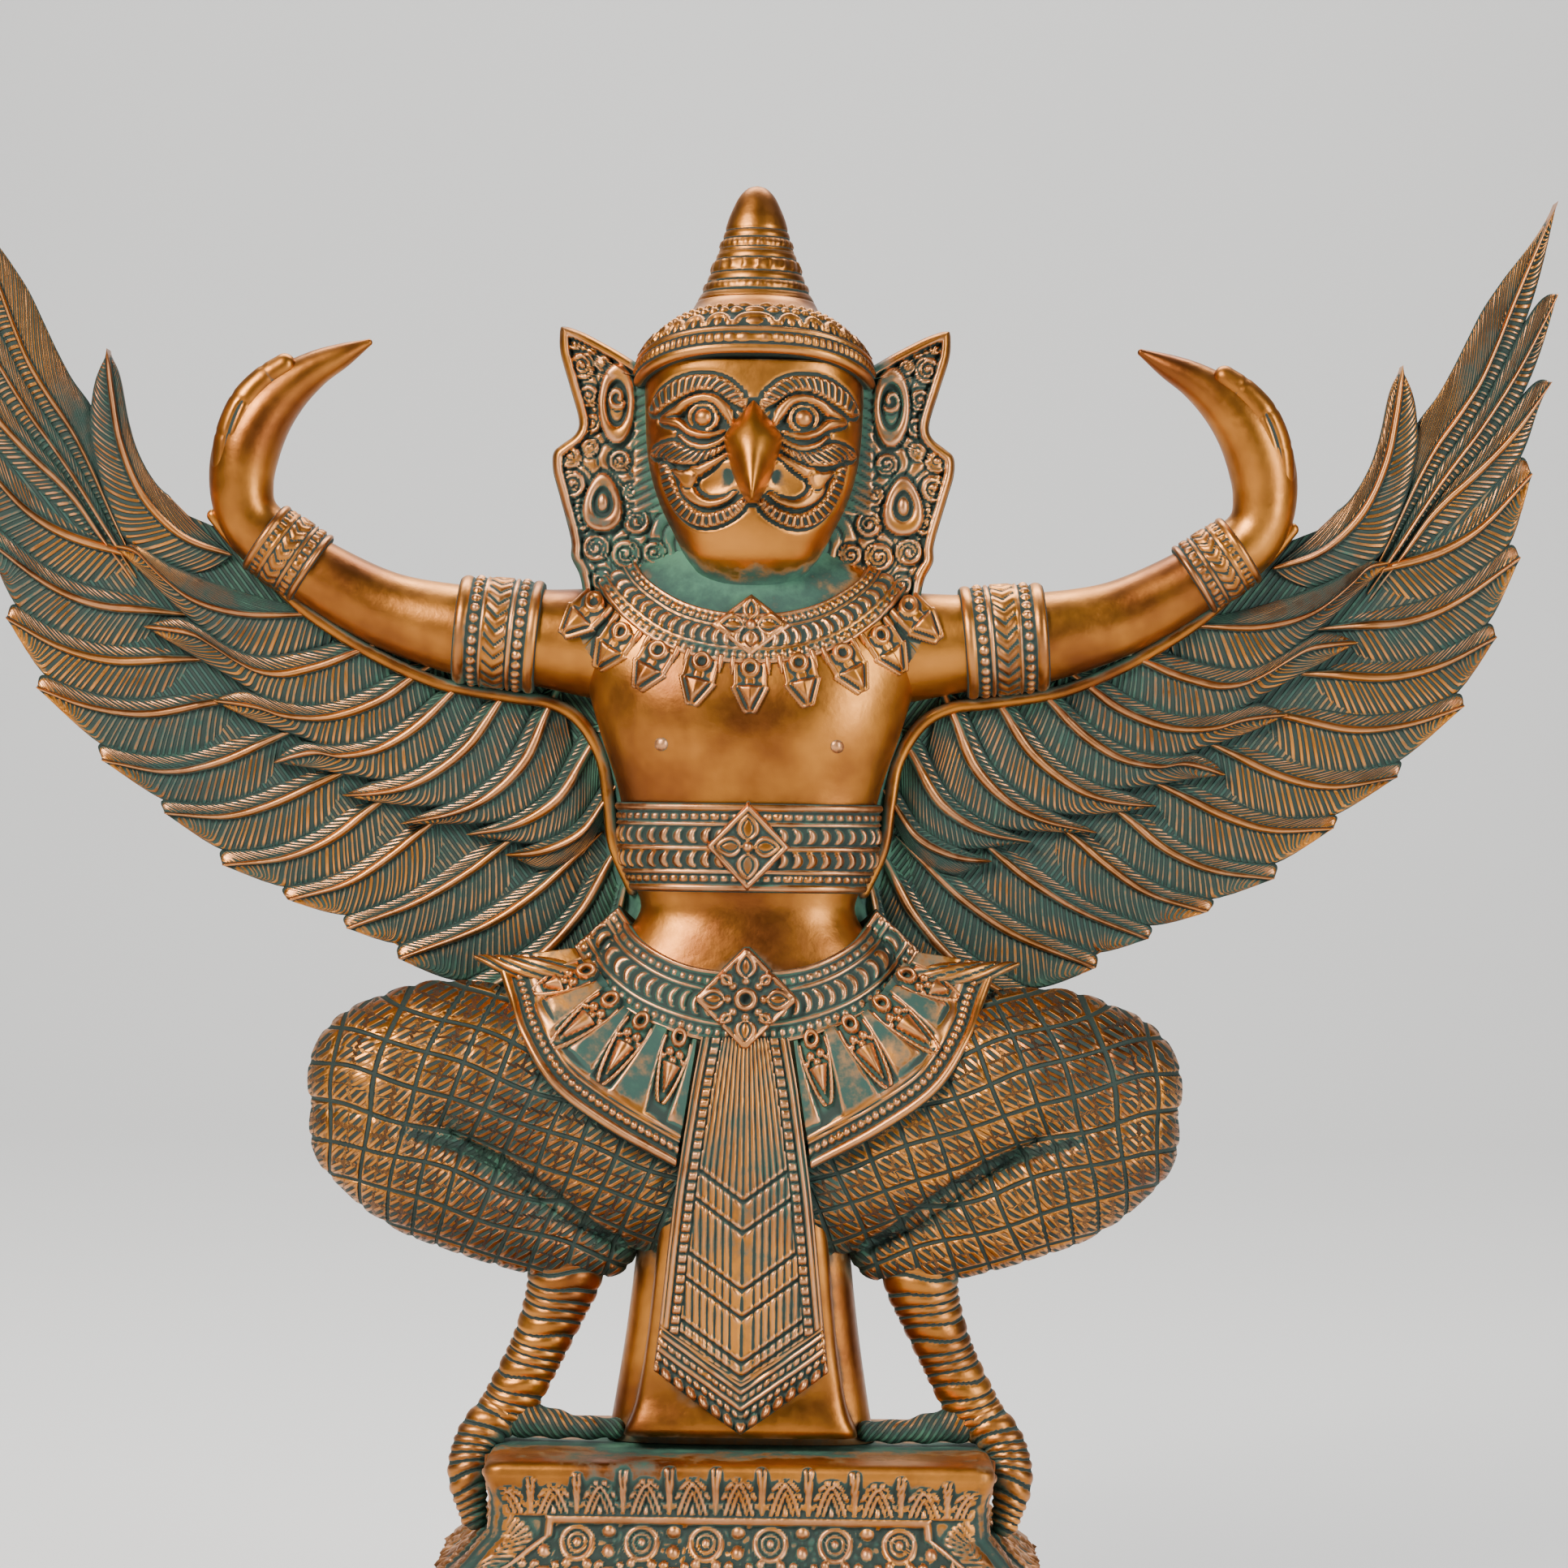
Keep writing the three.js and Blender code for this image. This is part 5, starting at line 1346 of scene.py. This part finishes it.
def plinth_relief(u, z, half, carved):
    """The carving of one side: u runs along it from its middle, half is half its length there."""
    lift = np.zeros(u.shape)
    tall = 7.0 + 4.6 * np.cos(np.clip(u / half, -1, 1) * 1.5)
    petals = petal_row(u, z, PETAL_FOOT, tall, 11.0)
    band = (z > PETAL_FOOT) & (z < PETAL_FOOT + tall)
    lift = np.where(band & carved, petals * 0.95, lift)
    lift = np.where(z > 69, 0, lift)
    lift = lift + 0.7 * dome(z - PETAL_FOOT + 0.5, 0.6)
    slope = half - 61
    inset = 13.3 - 0.55 * slope
    side = half - inset - np.abs(u)
    below = FRAME_TOP - 1.2 - z
    frame_line = np.minimum(side, below)
    lift = lift + 1.6 * dome(frame_line, 1.15) * (z > 39) * (below > -1.3)
    panel = (frame_line > 1.3) & (z > 39)
    lift = np.where(panel, np.where(carved, panel_relief(u, z), 0.5), lift)
    fan_x, fan_z = np.abs(u) - (half - 1), z - 47.5
    fan_r = np.hypot(fan_x, fan_z)
    fan_turn = np.arctan2(-fan_x, fan_z + 1e-9)
    leaves = (0.9 + 0.8 * strokes(fan_turn * 6.2, 1)) * flat(fan_r - 6, 4.6, 1.5)
    corner = (side < -1.4) & (z > 44) & (z < PETAL_FOOT - 0.6)
    lift = np.where(corner & carved, leaves, lift)
    lower = petal_row(u, 21.5 - z, 0.3, 11.0, 13.6)
    lift = np.where((z > 9.8) & (z < 21.5) & carved, lower * 1.1, lift)
    lift = lift + 0.8 * dome(z - 23, 0.9) + 0.7 * dome(z - 37.6, 0.8)
    waist = (z > 24.5) & (z < 36.4)
    off, up = (u / 6.2 - np.round(u / 6.2)) * 6.2, z - 30.4
    ringed_beads = beads(u, up, 6.2, 1.9) + 0.6 * dome(np.hypot(off, up) - 2.5, 0.4)
    return np.where(waist & carved, ringed_beads, lift)


ROSETTE_PITCH = 15.3
PEBBLES = [(7.6, 2.7, 1.9), (7.5, -1.9, 1.6), (5.3, 5.0, 1.2), (-5.2, 4.8, 1.3), (5.5, -4.9, 1.3),
           (-5.0, -5.0, 1.1)]


def panel_relief(u, z):
    """Ringed rosettes in rows with small round bumps between them."""
    lift = 0.4 * (ground(u, z, 3.2) + 0.2)
    for row, level in enumerate((51, 41.6)):
        off = (u + (row + 1) * ROSETTE_PITCH / 2) / ROSETTE_PITCH
        near = (off - np.round(off)) * ROSETTE_PITCH
        for dx, dz, size in PEBBLES:
            gap = near - dx
            gap = gap - np.round(gap / ROSETTE_PITCH) * ROSETTE_PITCH
            bump = np.hypot(gap, z - level - dz)
            lift = np.maximum(lift, 1.5 * dome(bump, size))
        r = np.hypot(near, z - level)
        rose = 1.3 * dome(r - 3.6, 0.85) + 1.0 * dome(r - 2.0, 0.6) + 1.5 * dome(r, 1.2) - 0.2
        lift = mixed(lift, rose, flat(r, 4.6, 0.8))
    return lift


def rounded_outline(half_width, half_depth, radius, front_step, side_step, back_step):
    """Places round a rectangle with round corners: face, how far along it, and turn into its corner."""
    places = []
    for face, (length, step) in enumerate(((half_width, front_step), (half_depth, side_step),
                                           (half_width, back_step), (half_depth, side_step))):
        straight = length - radius
        for u in np.linspace(-straight, straight, max(4, int(2 * straight / step))):
            places.append((face, u, 0.0))
        for turn in np.linspace(0, np.pi / 2, 6)[1:-1]:
            places.append((face, straight, turn))
    return places


def plinth(casting):
    levels = np.array(plinth_sizes())
    fine = np.arange(PANEL_FOOT, PLINTH_TOP, FINE * 0.85)
    rough = np.arange(0, PANEL_FOOT, FINE * 1.7)
    z = np.concatenate([rough, fine, [PLINTH_TOP - 0.15, PLINTH_TOP]])
    z = np.unique(np.concatenate([z, [7.6, 8.6, 9, 9.2]]))
    half_x, half_y = (np.interp(z, levels[:, 0], levels[:, k])[:, None] for k in (1, 2))
    radius = CORNER_RADIUS
    top_x, top_y = TOP_HALF[0] / MM, TOP_HALF[1] / MM
    places = rounded_outline(top_x, top_y, radius, FINE * 0.85, FINE * 1.6, FINE * 3.4)
    face, u, turn = (np.array(column)[None] for column in zip(*places))
    flat_part = turn == 0
    x = np.zeros((len(z), face.shape[1]))
    y = np.zeros_like(x)
    for number, (ax, ay) in enumerate(((1, 0), (0, 1), (-1, 0), (0, -1))):
        here = face == number
        along_half = half_x if number % 2 == 0 else half_y
        out_half = half_y if number % 2 == 0 else half_x
        top_half = top_x if number % 2 == 0 else top_y
        run = u * (along_half - radius) / (top_half - radius)
        a = np.where(flat_part, run, along_half - radius + radius * np.sin(turn))
        b = np.where(flat_part, out_half, out_half - radius + radius * np.cos(turn))
        dx, dy = a * ax + b * ay, a * ay - b * ax
        x = np.where(here, dx, x)
        y = np.where(here, dy, y)
    along = np.where(face % 2 == 0, x, y)
    half = np.where(face % 2 == 0, half_x, half_y)
    level = np.broadcast_to(z[:, None], x.shape)
    lift = plinth_relief(along, level, half, face != 2)
    lift = np.where(flat_part, lift, 0) * np.where(face == 2, 0.9, 1)
    lift *= risen(half - 3 - np.abs(along), 2) * (level > 9.6) * (level < 69)
    lift = np.where((level < 22) & (half > 61), np.minimum(lift, 1.4), lift)
    base = np.stack([x, y, level], -1) * MM / UNIT
    base[..., 2] += SEAT_LEVEL - SEAT / UNIT
    casting.ring(base, lift * MM / UNIT)


# Patina: how sheltered each place is, read from a blurred volume of the whole casting

VOXEL = 1.25
# Size of the blur, how far out from the surface it is read, and how much metal counts as open, near and wide
NEAR_SIZE, NEAR_STEP, OPEN_NEAR = 5, 1.6, 0.22
WIDE_SIZE, WIDE_STEP, OPEN_WIDE = 15, 5, 0.16
DEEP_GROOVE = 0.42


def volume_of(castings):
    """1 inside the casting and 0 outside, on an even grid, with the grid's low corner."""
    points = np.vstack([part for casting in castings for part in casting.points])
    triangles, start = [], 0
    for casting in castings:
        quads = np.vstack(casting.quads)
        halves = [quads[:, [0, 1, 2]], quads[:, [0, 2, 3]], np.vstack(casting.triangles)]
        triangles += [part + start for part in halves]
        start += casting.count
    grid = openvdb.FloatGrid.createLevelSetFromPolygons(
        points.astype(np.float32), triangles=np.vstack(triangles).astype(np.uint32),
        transform=openvdb.createLinearTransform(voxelSize=VOXEL), halfWidth=3.0)
    margin = 12
    low = np.floor(points.min(0) / VOXEL).astype(int) - margin
    high = np.ceil(points.max(0) / VOXEL).astype(int) + margin
    values = np.full(tuple(high - low), grid.background, np.float32)
    grid.copyToArray(values, ijk=tuple(int(v) for v in low))
    return np.clip(0.5 - values / VOXEL, 0, 1), low * VOXEL


def softened(volume, size):
    """The volume averaged over a box of the given size, twice along each axis."""
    reach = max(1, int(round(size / VOXEL / 2)))
    width = 2 * reach + 1
    for axis in range(3):
        for _ in range(2):
            pad = [(0, 0)] * 3
            pad[axis] = (reach + 1, reach)
            total = np.cumsum(np.pad(volume, pad, "edge"), axis=axis, dtype=np.float64)
            upper = np.take(total, range(width, total.shape[axis]), axis)
            lower = np.take(total, range(0, total.shape[axis] - width), axis)
            volume = ((upper - lower) / width).astype(np.float32)
    return volume


def sampled(volume, low, points):
    place = np.clip((points - low) / VOXEL, 0, np.array(volume.shape) - 2)
    cell = place.astype(int)
    part = place - cell
    total = np.zeros(len(points))
    for corner in range(8):
        step = np.array([corner & 1, corner >> 1 & 1, corner >> 2 & 1])
        weight = np.prod(np.where(step, part, 1 - part), axis=1)
        at = cell + step
        total += weight * volume[at[:, 0], at[:, 1], at[:, 2]]
    return total


# Meshes and materials

def new_mesh(casting):
    points = np.vstack(casting.points)
    quads, triangles = np.vstack(casting.quads), np.vstack(casting.triangles)
    mesh = bpy.data.meshes.new(casting.name)
    mesh.vertices.add(len(points))
    places = points * UNIT
    places[:, 2] += SEAT - SEAT_LEVEL * UNIT
    mesh.vertices.foreach_set("co", places.astype(np.float32).ravel())
    loops = np.concatenate([quads.ravel(), triangles.ravel()]).astype(np.int32)
    mesh.loops.add(len(loops))
    mesh.loops.foreach_set("vertex_index", loops)
    starts = np.concatenate([np.arange(len(quads)) * 4, len(quads) * 4 + np.arange(len(triangles)) * 3])
    mesh.polygons.add(len(starts))
    mesh.polygons.foreach_set("loop_start", starts.astype(np.int32))
    mesh.update(calc_edges=True)
    mesh.polygons.foreach_set("use_smooth", np.ones(len(starts), bool))
    return mesh, points


def set_number(mesh, name, values):
    layer = mesh.attributes.new(name, "FLOAT", "POINT")
    layer.data.foreach_set("value", np.asarray(values, np.float32))


def linked(name, data):
    """A new object in the scene."""
    made = bpy.data.objects.new(name, data)
    bpy.context.collection.objects.link(made)
    return made


def make_pieces(castings, materials):
    volume, low = volume_of(castings)
    near, wide = softened(volume, NEAR_SIZE), softened(volume, WIDE_SIZE)
    for casting in castings:
        mesh, points = new_mesh(casting)
        normal = np.zeros(len(points) * 3, np.float32)
        mesh.vertex_normals.foreach_get("vector", normal)
        normal = normal.reshape(-1, 3)
        close = sampled(near, low, points + normal * NEAR_STEP)
        far = sampled(wide, low, points + normal * WIDE_STEP)
        marks = np.vstack(casting.marks)
        marks[:, 0] = np.clip(marks[:, 0] / DEEP_GROOVE, -1, 1)
        for name, values in zip(MARKS, marks.T):
            set_number(mesh, name, values)
        set_number(mesh, "nook", risen(close - OPEN_NEAR, 0.36))
        set_number(mesh, "shelter", risen(far - OPEN_WIDE, 0.4))
        mesh.materials.append(materials[casting.slot])
        piece = linked(casting.name, mesh)
        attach(piece, "root")
        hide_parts(casting.node)


class Shade:
    """Short calls for building a node material."""

    def __init__(self, name):
        self.material = bpy.data.materials.new(name)
        self.material.use_nodes = True
        self.tree = self.material.node_tree
        self.surface = self.tree.nodes["Principled BSDF"]

    def node(self, kind, **settings):
        made = self.tree.nodes.new(kind)
        for key, value in settings.items():
            setattr(made, key, value)
        return made

    def put(self, value, socket):
        if hasattr(value, "is_output"):
            self.tree.links.new(value, socket)
        else:
            socket.default_value = value

    def maths(self, operation, *values):
        made = self.node("ShaderNodeMath", operation=operation)
        for value, socket in zip(values, made.inputs):
            self.put(value, socket)
        return made.outputs[0]

    def total(self, *parts):
        """The sum of values, each times its weight."""
        terms = [self.maths("MULTIPLY", value, weight) for value, weight in parts]
        result = terms[0]
        for term in terms[1:]:
            result = self.maths("ADD", result, term)
        return result

    def ramp(self, value, low, high, to_low=0.0, to_high=1.0):
        made = self.node("ShaderNodeMapRange", interpolation_type="SMOOTHSTEP")
        for socket, number in zip(made.inputs, (value, low, high, to_low, to_high)):
            self.put(number, socket)
        return made.outputs[0]

    def mix(self, share, a, b):
        made = self.node("ShaderNodeMix", data_type="RGBA")
        self.put(share, made.inputs[0])
        self.put(a, made.inputs[6])
        self.put(b, made.inputs[7])
        return made.outputs[2]

    def number(self, name):
        return self.node("ShaderNodeAttribute", attribute_name=name).outputs["Fac"]

    def noise(self, scale, detail=3.0, rough=0.55):
        made = self.node("ShaderNodeTexNoise")
        coordinates = self.node("ShaderNodeTexCoord").outputs["Object"]
        self.tree.links.new(coordinates, made.inputs["Vector"])
        made.inputs["Scale"].default_value = scale
        made.inputs["Detail"].default_value = detail
        made.inputs["Roughness"].default_value = rough
        return made.outputs["Fac"]


BRASS = (0.56, 0.22, 0.038, 1)
BRASS_DEEP = (0.20, 0.062, 0.016, 1)
# Paler copper for raised relief: partly wear on high points, partly a painted highlight standing in for the
# shine on ridges
COPPER_WORN_AND_HIGHLIT = (0.64, 0.31, 0.15, 1)
SOOT = (0.014, 0.009, 0.006, 1)
ENGRAVED = (0.010, 0.017, 0.013, 1)
VERDIGRIS = (0.020, 0.060, 0.046, 1)
VERDIGRIS_PALE = (0.075, 0.21, 0.125, 1)


def brass(name, dulled=0.0):
    """Old brass: paler copper on raised relief, partly wear where it is touched and partly a painted
    highlight, sooty in the engraving, green where it is old and sheltered.
    """
    s = Shade(name)
    groove, nook, shelter, age = (s.number(mark) for mark in ("groove", "nook", "shelter", "age"))
    cloud, grain, fleck = s.noise(26, 4), s.noise(420, 3), s.noise(120, 4, 0.7)
    swing = s.maths("PINGPONG", s.number("phase"), 0.5)
    stroke = s.maths("MULTIPLY", s.ramp(swing, 0.34, 0.18), s.number("strokes"))
    lattice = [s.maths("PINGPONG", s.number(mark), 0.5) for mark in ("lattice_up", "lattice_across")]
    from_line = s.maths("MINIMUM", *lattice)
    line = s.maths("MULTIPLY", s.ramp(from_line, LINE_HALF * 1.5, LINE_HALF * 0.7), s.number("lattice"))
    drawn = s.maths("MAXIMUM", stroke, line)
    metal = s.mix(s.ramp(cloud, 0.35, 0.68), BRASS, BRASS_DEEP)
    # Raised relief is painted a paler copper: partly real wear, partly a painted highlight
    raised = s.ramp(groove, -0.15, -0.75)
    worn = s.maths("MULTIPLY", raised, s.ramp(fleck, 0.3, 0.6, 0.5, 1.0))
    metal = s.mix(s.maths("MULTIPLY", worn, s.ramp(age, 0.2, 0.7, 0.35, 0.95)), metal, COPPER_WORN_AND_HIGHLIT)
    engraved = s.ramp(s.maths("ADD", groove, s.maths("MULTIPLY", fleck, 0.25)), 0.2, 0.6)
    engraved = s.maths("MAXIMUM", engraved, s.maths("MULTIPLY", drawn, 0.95))
    sheltered = s.maths("MAXIMUM", nook, s.maths("MULTIPLY", shelter, 0.9))
    older = s.maths("SUBTRACT", age, 0.34)
    cover = s.total((engraved, 0.9), (sheltered, 0.62), (older, 0.7), (raised, -0.55))
    uneven = s.maths("SUBTRACT", s.maths("ADD", fleck, cloud), 1.0)
    speckle = s.maths("MULTIPLY", uneven, s.ramp(age, 0.1, 0.8, 0.5, 1.3))
    patchy = s.ramp(s.maths("ADD", cover, speckle), 0.22, 0.72)
    pale = s.total((cloud, 0.6), (fleck, 0.8), (s.maths("MULTIPLY", shelter, age), 0.4))
    green = s.mix(s.ramp(pale, 0.8, 1.3), VERDIGRIS, VERDIGRIS_PALE)
    greenish = s.ramp(s.total((age, 0.55), (sheltered, 0.5), (cloud, 0.4)), 0.25, 0.6)
    dirt = s.mix(s.maths("MULTIPLY", engraved, 0.8), s.mix(greenish, SOOT, green), ENGRAVED)
    s.put(s.mix(patchy, metal, dirt), s.surface.inputs["Base Color"])
    s.put(s.ramp(patchy, 0.1, 0.75, 1.0, 0.1), s.surface.inputs["Metallic"])
    rough = s.total((s.ramp(patchy, 0, 1, 0.34 + dulled, 0.72), 1.0), (s.ramp(fleck, 0.3, 0.7), 0.1))
    s.put(rough, s.surface.inputs["Roughness"])
    bump = s.node("ShaderNodeBump")
    bump.inputs["Strength"].default_value = 1.0
    bump.inputs["Distance"].default_value = 0.00035
    s.put(s.total((grain, 0.2), (fleck, 0.2), (drawn, -1.3)), bump.inputs["Height"])
    s.put(bump.outputs[0], s.surface.inputs["Normal"])
    return s.material


# Stage: floor, soft lights and the camera at the photograph's angle

CAMERA_DISTANCE = 0.98
CAMERA_PLACE = (0.0085, -CAMERA_DISTANCE, 0.2316)
CAMERA_ROLL = math.radians(-0.75)
LENS = 91.3
SKY_COLOUR, SKY_STRENGTH = (0.80, 0.82, 0.85, 1), 0.13
# Each light's name, place, target, size, power and colour
LIGHTS = [
    ("key", (-0.75, -0.95, 0.95), (0, 0, 0.2), (0.5, 0.5), 32, (1, 0.96, 0.90)),
    ("fill", (0.95, -0.8, 0.45), (0, 0, 0.2), (0.3, 0.9), 14, (0.95, 0.98, 1)),
    ("top", (0.0, 0.35, 1.1), (0, 0, 0.25), (0.8, 0.4), 10, (1, 1, 1)),
    ("backdrop", (0.0, 1.0, 2.2), (0, 2.4, 0.6), (2.4, 0.8), 60, (1, 1, 1)),
]


def area_light(name, place, target, size, power, colour):
    data = bpy.data.lights.new(name, "AREA")
    data.shape = "RECTANGLE"
    data.size, data.size_y = size
    data.energy = power
    data.color = colour
    lamp = linked(name, data)
    lamp.location = place
    aim = np.array(target) - np.array(place)
    lamp.rotation_euler = Vector(aim).to_track_quat("-Z", "Y").to_euler()


def sweep_of_paper():
    """A pale floor that curves up into a plain backdrop well behind the figure."""
    half, back, bend = 3.0, 1.6, 1.0
    profile = [(-3.0, 0.0), (back, 0.0)]
    for turn in np.linspace(0, np.pi / 2, 25)[1:]:
        profile.append((back + bend * math.sin(turn), bend * (1 - math.cos(turn))))
    profile.append((back + bend, 3.6))
    points = [(side, y, PLINTH_LOW.z + z) for y, z in profile for side in (-half, half)]
    faces = [(2 * i, 2 * i + 1, 2 * i + 3, 2 * i + 2) for i in range(len(profile) - 1)]
    mesh = bpy.data.meshes.new("floor")
    mesh.from_pydata(points, [], faces)
    mesh.polygons.foreach_set("use_smooth", [True] * len(faces))
    floor = linked("floor", mesh)
    paper = Shade("pale_paper")
    tone = paper.mix(paper.noise(3, 2), (0.74, 0.735, 0.72, 1), (0.77, 0.765, 0.75, 1))
    paper.put(tone, paper.surface.inputs["Base Color"])
    paper.surface.inputs["Roughness"].default_value = 0.9
    mesh.materials.append(paper.material)


def stage():
    sweep_of_paper()
    world = bpy.data.worlds.new("studio")
    bpy.context.scene.world = world
    world.use_nodes = True
    sky = world.node_tree.nodes["Background"].inputs
    sky["Color"].default_value = SKY_COLOUR
    sky["Strength"].default_value = SKY_STRENGTH
    for light in LIGHTS:
        area_light(*light)
    data = bpy.data.cameras.new("camera")
    data.lens = LENS
    camera = linked("camera", data)
    camera.location = CAMERA_PLACE
    camera.rotation_euler = (math.pi / 2, CAMERA_ROLL, 0)
    bpy.context.scene.camera = camera


FIGURE_FORMS = [("head", head), ("torso", torso), ("girdle", girdle), ("arms", arms), ("legs", legs),
                ("feet", feet), ("front_cloth", apron)]


def build():
    castings = []
    for name, form in FIGURE_FORMS:
        casting = Casting(name, "garuda_figure", "figure_brass")
        form(casting)
        castings.append(casting)
    right = Casting("wing_right", "garuda_figure", "figure_brass")
    wing(right)
    left = Casting("wing_left", "garuda_figure", "figure_brass")
    for points, quads, triangles, marks in zip(right.points, right.quads, right.triangles, right.marks):
        start = quads.min()
        left.gather(points * [-1, 1, 1], quads - start, triangles - start, marks)
    base = Casting("plinth_base", "plinth", "plinth_brass", AGE["plinth"])
    plinth(base)
    materials = {"figure_brass": brass("old_brass"), "plinth_brass": brass("old_brass_plinth", 0.06)}
    make_pieces([*castings, right, left, base], materials)


build()
stage()
